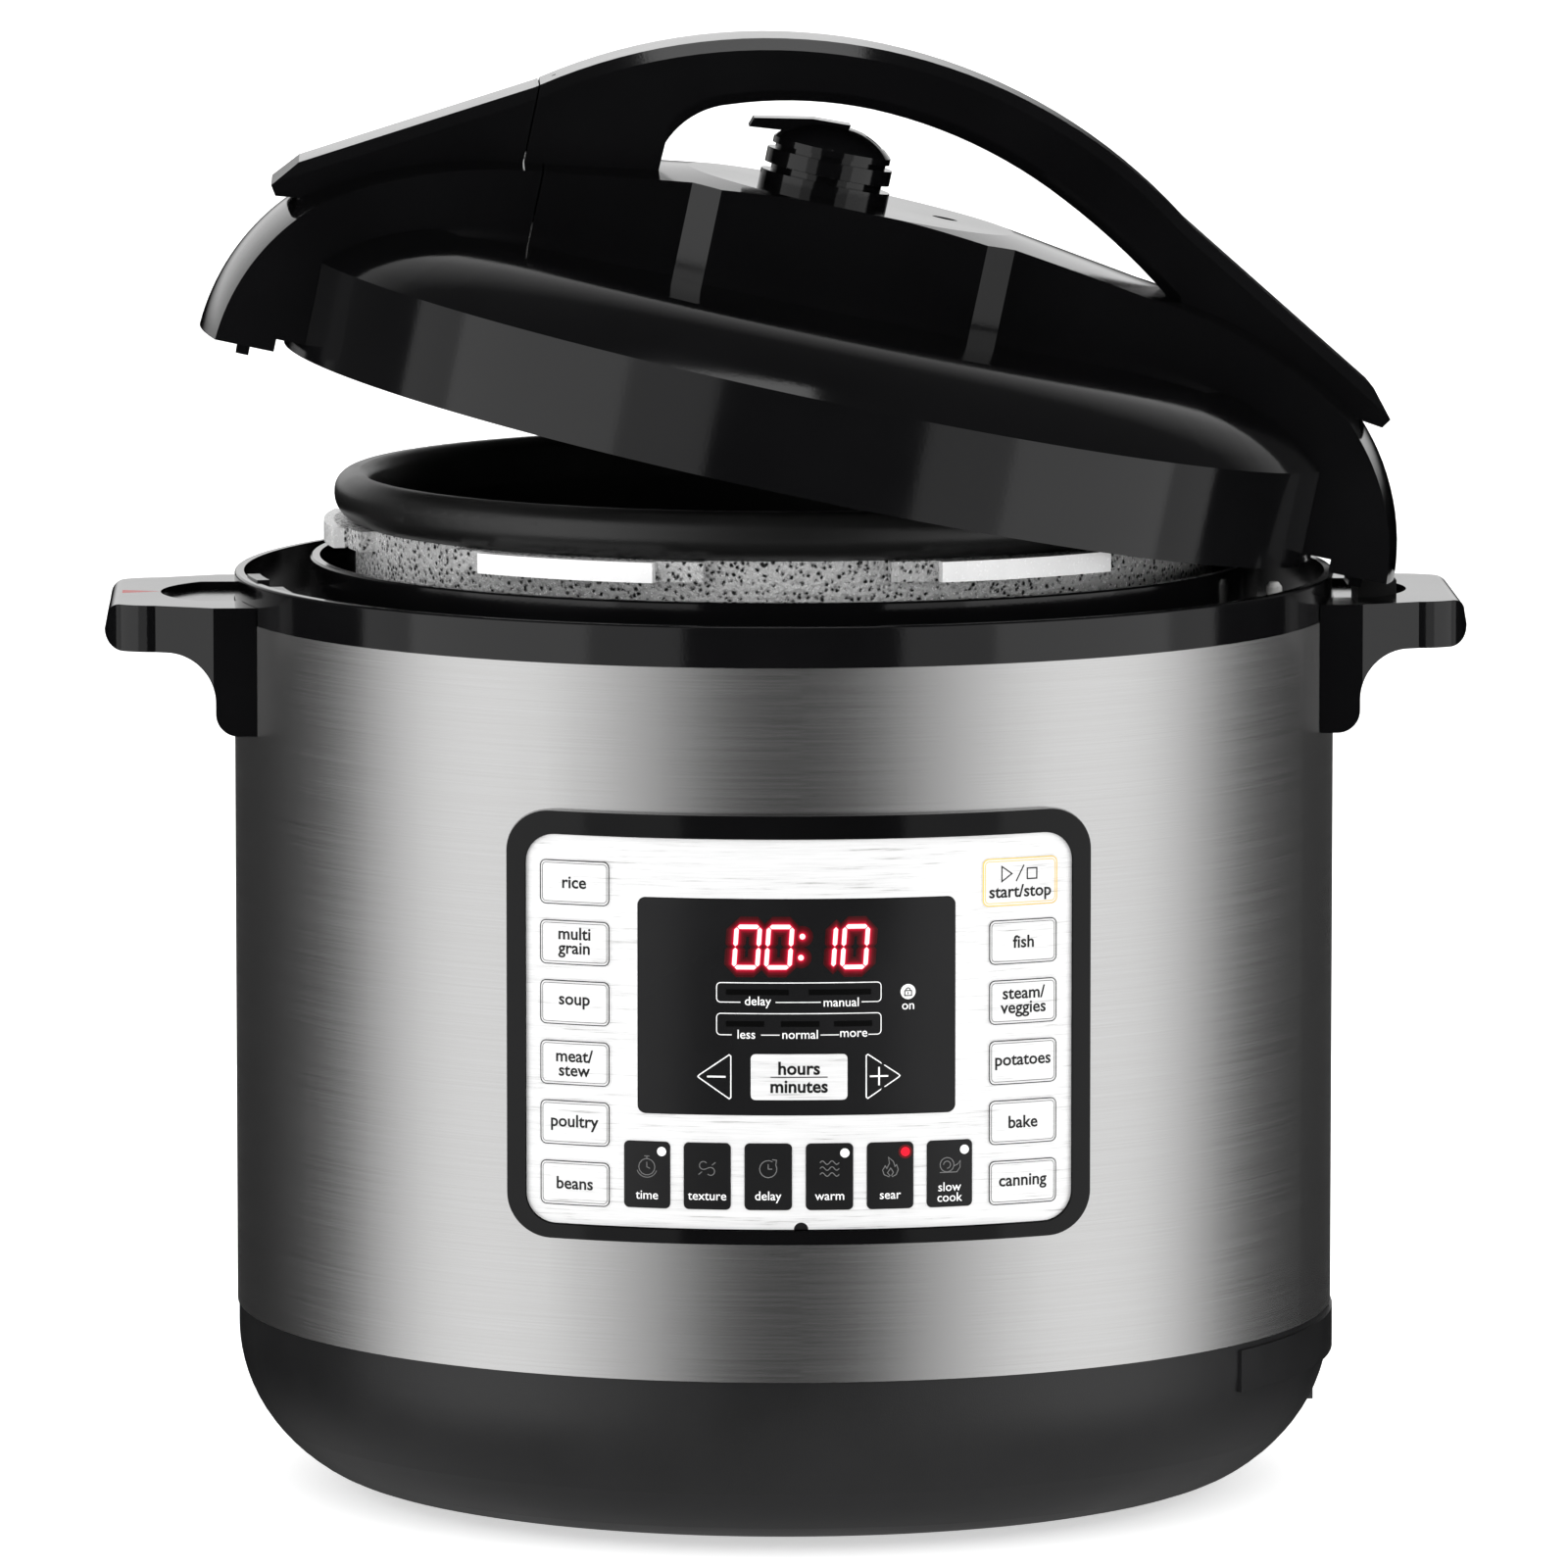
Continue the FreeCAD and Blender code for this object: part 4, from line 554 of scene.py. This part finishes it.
# ---------------------------------------------------------------- black keys along the bottom
# icons in millimetres from their centres
ICONS = {
    "time": [
        arc(0, 0, 2.5, 0, 360),
        [(0, 1.5), (0, 0), (1.0, -0.5)],
        [(-0.8, 3.3), (0.8, 3.3)],
        [(0, 3.3), (0, 2.5)],
        arc(0, 0, 3.2, 200, 340),
    ],
    "texture": [
        arc(-1.1, 0.9, 1.2, 40, 290),
        arc(1.1, -0.9, 1.2, 220, 470),
        [(-0.7, -0.3), (0.7, 0.3)],
        [(-2.6, -1.9), (-1.5, -1.0)],
        [(2.6, 1.9), (1.5, 1.0)],
    ],
    "delay": [
        arc(0, 0, 2.6, 60, 390),
        [(0, 1.5), (0, 0), (1.2, 0)],
        [(1.2, 2.9), (2.5, 2.7), (2.3, 1.3)],
    ],
    "warm": [
        [(-2.9 + 0.29 * i, level + 0.55 * math.sin(i * 0.63)) for i in range(21)]
        for level in (-1.7, 0.1, 1.9)
    ],
    "sear": [
        [(-0.3, -2.8), (-1.9, -2.1), (-2.4, -0.7), (-1.6, 0.6), (-1.1, -0.2), (-0.3, 1.4), (-0.6, 3.2),
         (0.9, 1.9), (1.4, 0.4), (1.9, 0.9), (2.4, -0.6), (1.8, -2.1), (0.5, -2.8)],
        [(-0.1, -2.5), (-0.9, -1.5), (0.1, -0.1), (0.9, -1.4), (0.3, -2.5)],
    ],
    "slow": [
        arc(-0.9, 0.3, 2.2, -60, 300),
        arc(-0.9, 0.3, 1.1, -90, 180),
        [(-3.2, -2.0), (2.2, -2.0), (3.2, -0.6), (3.3, 1.4), (2.5, 0.4), (1.2, -0.2)],
    ],
}
# icon, word, lamp and how far the word's middle lies below the key's, in millimetres
BLACK_KEYS = [
    ("time", "time", "white", 6.2),
    ("texture", "texture", None, 6.2),
    ("delay", "delay", None, 6.2),
    ("warm", "warm", "white", 6.2),
    ("sear", "sear", "red", 6.2),
    ("slow", "slow\ncook", "white", 5.6),
]
BLACK_ROW = 0.1203
BLACK_PITCH, BLACK_SHIFT = 6.09, -0.22  # degrees
LAMP_ACROSS, LAMP_UP = 4.6 * MM, 7.2 * MM


def black_key(across, icon, label, lamp, drop):
    """A black key with its icon and word, and a lamp in its corner."""
    top = KEY_HIGH + PRINT
    pad(f"black_key_{icon}", across, BLACK_ROW, 14.4 * MM, 20.4 * MM, 1.6 * MM, FACE - SUNK, KEY_HIGH,
        KEY_INK, "panel_window")
    words(f"word_{icon}", label, across, BLACK_ROW - drop * MM, 3.9 * MM, FACE, top, GLOWING_WHITE_INK,
          "white_plastic", THIN)
    strokes(f"icon_{icon}", metres(ICONS[icon]), across, BLACK_ROW + 2.4 * MM, 0.28 * MM, FACE, top,
            GREY_INK, "white_plastic")
    spot = (across + LAMP_ACROSS, BLACK_ROW + LAMP_UP)
    if lamp == "red":
        polygons(f"lamp_halo_{icon}", disc(2.1 * MM, 24), *spot, FACE, top, LAMP_HALO, "red_mark")
        polygons(f"lamp_{icon}", disc(1.4 * MM, 20), *spot, FACE, top + PRINT, LAMP, "red_mark")
    elif lamp == "white":
        polygons(f"lamp_{icon}", disc(1.4 * MM, 20), *spot, FACE, top + PRINT, GLOWING_WHITE_INK, "white_plastic")


for k, row in enumerate(BLACK_KEYS):
    black_key(degrees_across((k - 2.5) * BLACK_PITCH + BLACK_SHIFT), *row)


# ---------------------------------------------------------------- the display on its window
WINDOW_LOW, WINDOW_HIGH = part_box("display_window")
WINDOW_MIDDLE = (WINDOW_LOW.x + WINDOW_HIGH.x) / 2, (WINDOW_LOW.z + WINDOW_HIGH.z) / 2
GLASS_PRINT = GLASS + PRINT
SMALL_WORD = 3.9 * MM


def at_display(px, pz):
    """Panel point (metres) from millimetres right of and above the window's centre."""
    return WINDOW_MIDDLE[0] + px * MM, WINDOW_MIDDLE[1] + pz * MM


# lit digits, in millimetres
DIGIT_TALL, DIGIT_WIDE, BAR = 13.6, 8.3, 1.3
SLANT = 0.07
SEGMENTS = {"0": "abcdef", "1": "bc"}
GROWTH = (0.3, 0.7, 1.15, 1.7, 2.4)  # how far each layer of glow spreads
DIGIT_SPOTS = [("0", -15.1), ("0", -5.4), ("1", 7.8), ("0", 17.5)]
DIGIT_LIFT, COLON_SPOT = 18.35, 1.35
COLON_DOT, COLON_HALF = 0.85, 3.2
GLOW_LOW = GLASS - 0.1 * MM


def segment(which, grow=0.0):
    """One bar of a digit as six slanted points, grown outwards by a margin."""
    w, h, t = DIGIT_WIDE / 2 - BAR / 2, DIGIT_TALL / 2 - BAR / 2, BAR / 2 + grow
    gap = 0.2 - grow
    if which in "ad":
        y = h if which == "a" else -h
        left, right = -w + gap, w - gap
        shape = [(left, y), (left + t, y - t), (right - t, y - t), (right, y), (right - t, y + t),
                 (left + t, y + t)]
    else:
        x = w if which in "bc" else -w
        low, high = (gap, h - gap) if which in "bf" else (-h + gap, -gap)
        shape = [(x, low), (x + t, low + t), (x + t, high - t), (x, high), (x - t, high - t),
                 (x - t, low + t)]
    return [(px + SLANT * py, py) for px, py in shape]


def lit_digit(tag, digit, spot):
    """A digit's white core and the red glow around it, in thinner and wider layers."""
    x, z = at_display(spot, DIGIT_LIFT)
    polygons(f"digit_{tag}", metres(segment(s) for s in SEGMENTS[digit]), x, z, GLOW_LOW,
             GLASS + 3 * PRINT, DIGIT, "red_mark")
    for layer, (grow, halo) in enumerate(zip(GROWTH, HALOS)):
        polygons(f"digit_halo_{tag}_{layer + 1}", metres(segment(s, grow) for s in SEGMENTS[digit]), x, z,
                 GLOW_LOW, GLASS + (2.5 - 0.45 * layer) * PRINT, halo, "red_mark")


def lit_colon():
    x, z = at_display(COLON_SPOT, DIGIT_LIFT)
    for layer, (grow, look) in enumerate(zip((0.0, *GROWTH), (DIGIT, *HALOS))):
        dots = [[(px + SLANT * up, py + up) for px, py in disc(COLON_DOT + grow, 16)[0]]
                for up in (-COLON_HALF, COLON_HALF)]
        polygons(f"digit_colon_{layer}", metres(dots), x, z, GLOW_LOW,
                 GLASS + (3 - 0.45 * layer) * PRINT, look, "red_mark")


for tag, (digit, spot) in enumerate(DIGIT_SPOTS, start=1):
    lit_digit(tag, digit, spot)
lit_colon()

# the two framed rows under the digits, in millimetres
ROW_LEFT, ROW_RIGHT, ROW_CORNER = -24.3, 25.4, 1.2


def row_frame(tall, labels):
    """The frame's line: a top with two sides, and a bottom that breaks at each word."""
    left, right = ROW_LEFT + ROW_CORNER, ROW_RIGHT - ROW_CORNER
    bottom = -tall + ROW_CORNER
    top = [(ROW_LEFT, bottom), (ROW_LEFT, tall - ROW_CORNER)]
    top += arc(left, tall - ROW_CORNER, ROW_CORNER, 180, 90, 5)
    top += [(left + (right - left) * i / 20, tall) for i in range(21)]
    top += arc(right, tall - ROW_CORNER, ROW_CORNER, 90, 0, 5) + [(ROW_RIGHT, bottom)]
    edges = [left]
    for label, spot in labels:
        half = 0.88 * len(label) + 0.9
        edges += [spot - half, spot + half]
    edges.append(right)
    lines = [top]
    for number, (a, b) in enumerate(zip(edges[0::2], edges[1::2])):
        run = [(a + (b - a) * i / 4, -tall) for i in range(5)]
        if number == 0:
            run = arc(left, bottom, ROW_CORNER, 180, 270, 5) + run[1:]
        if number == len(labels):
            run = run[:-1] + arc(right, bottom, ROW_CORNER, 270, 360, 5)
        lines.append(run)
    return [[point for i, point in enumerate(line) if i == 0 or math.dist(point, line[i - 1]) > 1e-6]
            for line in lines]


def display_row(tag, lift, tall, drop, labels, bars, bar_wide):
    """A frame with its words on the lower line and unlit bars inside."""
    x, z = at_display(0, lift)
    strokes(f"display_line_{tag}", metres(row_frame(tall, labels)), x, z, 0.26 * MM, GLASS, GLASS_PRINT,
            GLOWING_WHITE_INK, "white_plastic")
    for label, spot in labels:
        words(f"display_word_{label}", label, *at_display(spot, lift - tall + drop), SMALL_WORD, GLASS,
              GLASS_PRINT, GLOWING_WHITE_INK, "white_plastic", THIN)
    for number, spot in enumerate(bars, start=1):
        pad(f"display_bar_{tag}_{number}", *at_display(spot, lift + 0.1), bar_wide * MM, 1.7 * MM,
            0.2 * MM, GLOW_LOW, GLASS_PRINT, BAR_INK, "panel_window", 0.01 * MM)


display_row("mode", 4.5, 2.96, 0.0, (("delay", -11.8), ("manual", 13.3)), (-12.0, 12.9), 18.9)
display_row("level", -5.15, 3.25, 0.2, (("less", -15.3), ("normal", 0.9), ("more", 17.1)),
            (-15.7, 0.9, 16.9), 11.6)

# lock sign: a padlock on a white disc
LOCK_SPOT = 33.7
PADLOCK = [
    [(-1.05, -1.2), (1.05, -1.2), (1.05, 0.3), (-1.05, 0.3), (-1.05, -1.2)],
    arc(0, 0.5, 0.65, 0, 180, 8),
    [(0, -0.8), (0, -0.1)],
]
polygons("lock_disc", disc(2.3 * MM, 28), *at_display(LOCK_SPOT, 4.3), GLASS, GLASS_PRINT, GLOWING_WHITE_INK,
         "white_plastic")
strokes("lock_sign", metres(PADLOCK), *at_display(LOCK_SPOT, 4.3), 0.34 * MM, GLASS, GLASS_PRINT + PRINT,
        INK, "component_black")
words("word_on", "on", *at_display(LOCK_SPOT, -0.2), SMALL_WORD, GLASS, GLASS_PRINT, GLOWING_WHITE_INK,
      "white_plastic", THIN)

# minus, plus and the silver key between them
TIME_ROW = -21.2
SIGN_ARM = 2.8


def arrow_key(tag, side, tip, base, middle):
    """A triangle's outline that points left or right, with a minus or plus in it."""
    x, z = at_display(0, TIME_ROW)
    border = [(tip - side * 0.4, 0.45), (base + side * 0.5, 6.7), (base, 6.3), (base, -6.3),
              (base + side * 0.5, -6.7), (tip - side * 0.4, -0.45), (tip, 0.0), (tip - side * 0.4, 0.45)]
    sign = [[(middle - SIGN_ARM, 0), (middle + SIGN_ARM, 0)]]
    if tag == "plus":
        sign.append([(middle, -SIGN_ARM), (middle, SIGN_ARM)])
    strokes(f"{tag}_border", metres([border]), x, z, 0.34 * MM, GLASS, GLASS_PRINT, GLOWING_WHITE_INK,
            "white_plastic")
    strokes(f"{tag}_sign", metres(sign), x, z, 0.5 * MM, GLASS, GLASS_PRINT, GLOWING_WHITE_INK, "white_plastic")


def time_key():
    x, z = at_display(0.6, TIME_ROW)
    top = TIME_KEY_HIGH + PRINT
    pad("time_key", x, z, 29.2 * MM, 14.0 * MM, 1.4 * MM, GLASS - SUNK, TIME_KEY_HIGH, FILM, "panel_face")
    for word, lift in (("hours", 2.7), ("minutes", -2.9)):
        words(f"word_{word}", word, x, z + lift * MM, 5.5 * MM, GLASS, top, INK, "component_black", BOLD)
    line = [(-8.6 + 17.2 * i / 8, 0) for i in range(9)]
    strokes("time_key_line", metres([line]), x, z, 0.3 * MM, GLASS, top, INK, "component_black")


arrow_key("minus", -1, -30.0, -20.0, -24.4)
arrow_key("plus", 1, 31.2, 20.9, 24.8)
time_key()


# ---------------------------------------------------------------- floor, light and camera
def floor():
    """A pale floor that reflections don't see, so that they stay clean."""
    mesh = bpy.data.meshes.new("floor")
    reach = 30.0
    mesh.from_pydata([(-reach, -reach, 0), (reach, -reach, 0), (reach, reach, 0), (-reach, reach, 0)], [],
                     [(0, 1, 2, 3)])
    obj = bpy.data.objects.new("floor", mesh)
    bpy.context.scene.collection.objects.link(obj)
    m = Nodes("floor_white")
    m.set(Base_Color=m.ramp(m.noise(2, 2), (0.3, (0.93, 0.93, 0.93)), (0.7, (0.95, 0.95, 0.95))))
    m.shader.inputs["Specular IOR Level"].default_value = 0.1
    m.shader.inputs["Roughness"].default_value = 0.9
    m.shader.inputs["Emission Color"].default_value = (1, 1, 1, 1)
    m.shader.inputs["Emission Strength"].default_value = 0.55
    mesh.materials.append(m.material)
    obj.visible_glossy = False


def softbox(name, spot, aim, width, height, power):
    """A rectangular lamp at a spot, turned to face its aim."""
    light = bpy.data.lights.new(name, "AREA")
    light.shape = "RECTANGLE"
    light.size = width
    light.size_y = height
    light.energy = power
    obj = bpy.data.objects.new(name, light)
    bpy.context.scene.collection.objects.link(obj)
    obj.location = spot
    obj.rotation_euler = (Vector(aim) - Vector(spot)).to_track_quat("-Z", "Y").to_euler()
    obj.visible_camera = False


def world():
    """White behind the object, dark in front of it, so that gloss black edges turn white.

    Steep downward reflections see a grey floor, so that the casing isn't black from above."""
    space = bpy.data.worlds.new("studio")
    bpy.context.scene.world = space
    space.use_nodes = True
    tree = space.node_tree
    tree.nodes.clear()
    link = tree.links.new

    def background(strength):
        node = tree.nodes.new("ShaderNodeBackground")
        node.inputs["Strength"].default_value = strength
        return node

    def span(value, start, end, low, high):
        node = tree.nodes.new("ShaderNodeMapRange")
        link(value, node.inputs["Value"])
        for key, number in (("From Min", start), ("From Max", end), ("To Min", low), ("To Max", high)):
            node.inputs[key].default_value = number
        return node.outputs[0]

    def combine(operation, first, second):
        node = tree.nodes.new("ShaderNodeMath")
        node.operation = operation
        link(first, node.inputs[0])
        link(second, node.inputs[1])
        return node.outputs[0]

    seen, around = background(1.05), background(1.0)
    seen.inputs["Color"].default_value = (1, 1, 1, 1)
    split = tree.nodes.new("ShaderNodeSeparateXYZ")
    link(tree.nodes.new("ShaderNodeTexCoord").outputs["Generated"], split.inputs[0])
    ramp = tree.nodes.new("ShaderNodeValToRGB")
    link(span(split.outputs["Y"], -1.0, 1.0, 0.0, 1.0), ramp.inputs["Fac"])
    stops = [(0.0, 0.02), (0.5, 0.03), (0.8, 0.05), (0.9, 0.4), (0.97, 1.0)]
    elements = ramp.color_ramp.elements
    while len(elements) < len(stops):
        elements.new(0.5)
    for element, (position, grey) in zip(elements, stops):
        element.position = position
        element.color = (grey, grey, grey, 1)
    upper = combine("MULTIPLY", ramp.outputs["Color"], span(split.outputs["Z"], -0.02, 0.06, 0.0, 1.0))
    lower = span(split.outputs["Z"], -0.3, -0.6, 0.0, 0.35)
    link(combine("MAXIMUM", upper, lower), around.inputs["Color"])
    path = tree.nodes.new("ShaderNodeLightPath")
    mix = tree.nodes.new("ShaderNodeMixShader")
    link(combine("MAXIMUM", path.outputs["Is Camera Ray"], path.outputs["Is Diffuse Ray"]), mix.inputs["Fac"])
    link(around.outputs[0], mix.inputs[1])
    link(seen.outputs[0], mix.inputs[2])
    link(mix.outputs[0], tree.nodes.new("ShaderNodeOutputWorld").inputs["Surface"])


def place_camera():
    """A long lens, a little to the left of the front and looking slightly down."""
    distance, height = 4.198, 0.728
    azimuth, below_level = math.radians(-1.7), math.radians(6.88)
    data = bpy.data.cameras.new("camera")
    data.lens = 309.5
    data.sensor_width = 36.0
    data.shift_y = -0.0058
    data.clip_end = 100.0
    camera = bpy.data.objects.new("camera", data)
    bpy.context.scene.collection.objects.link(camera)
    camera.location = (distance * math.sin(azimuth), -distance * math.cos(azimuth), height)
    camera.rotation_euler = (math.radians(90) - below_level, 0, azimuth)
    bpy.context.scene.camera = camera


floor()
world()
for side, name in ((-1, "left"), (1, "right")):
    softbox(f"box_{name}", (side * 2.42, -1.40, 0.35), (0, 0, 0.2), 4.4, 3.6, 34)
    softbox(f"box_{name}_core", (side * 2.3, -1.2, 0.35), (0, 0, 0.2), 2.0, 3.4, 12.5)
softbox("box_top", (0.0, -0.4, 3.0), (0, 0, 0.3), 1.2, 0.7, 6)
place_camera()
scene = bpy.context.scene
scene.view_settings.view_transform = "Standard"
scene.view_settings.look = "None"
scene.view_settings.exposure = 0.0
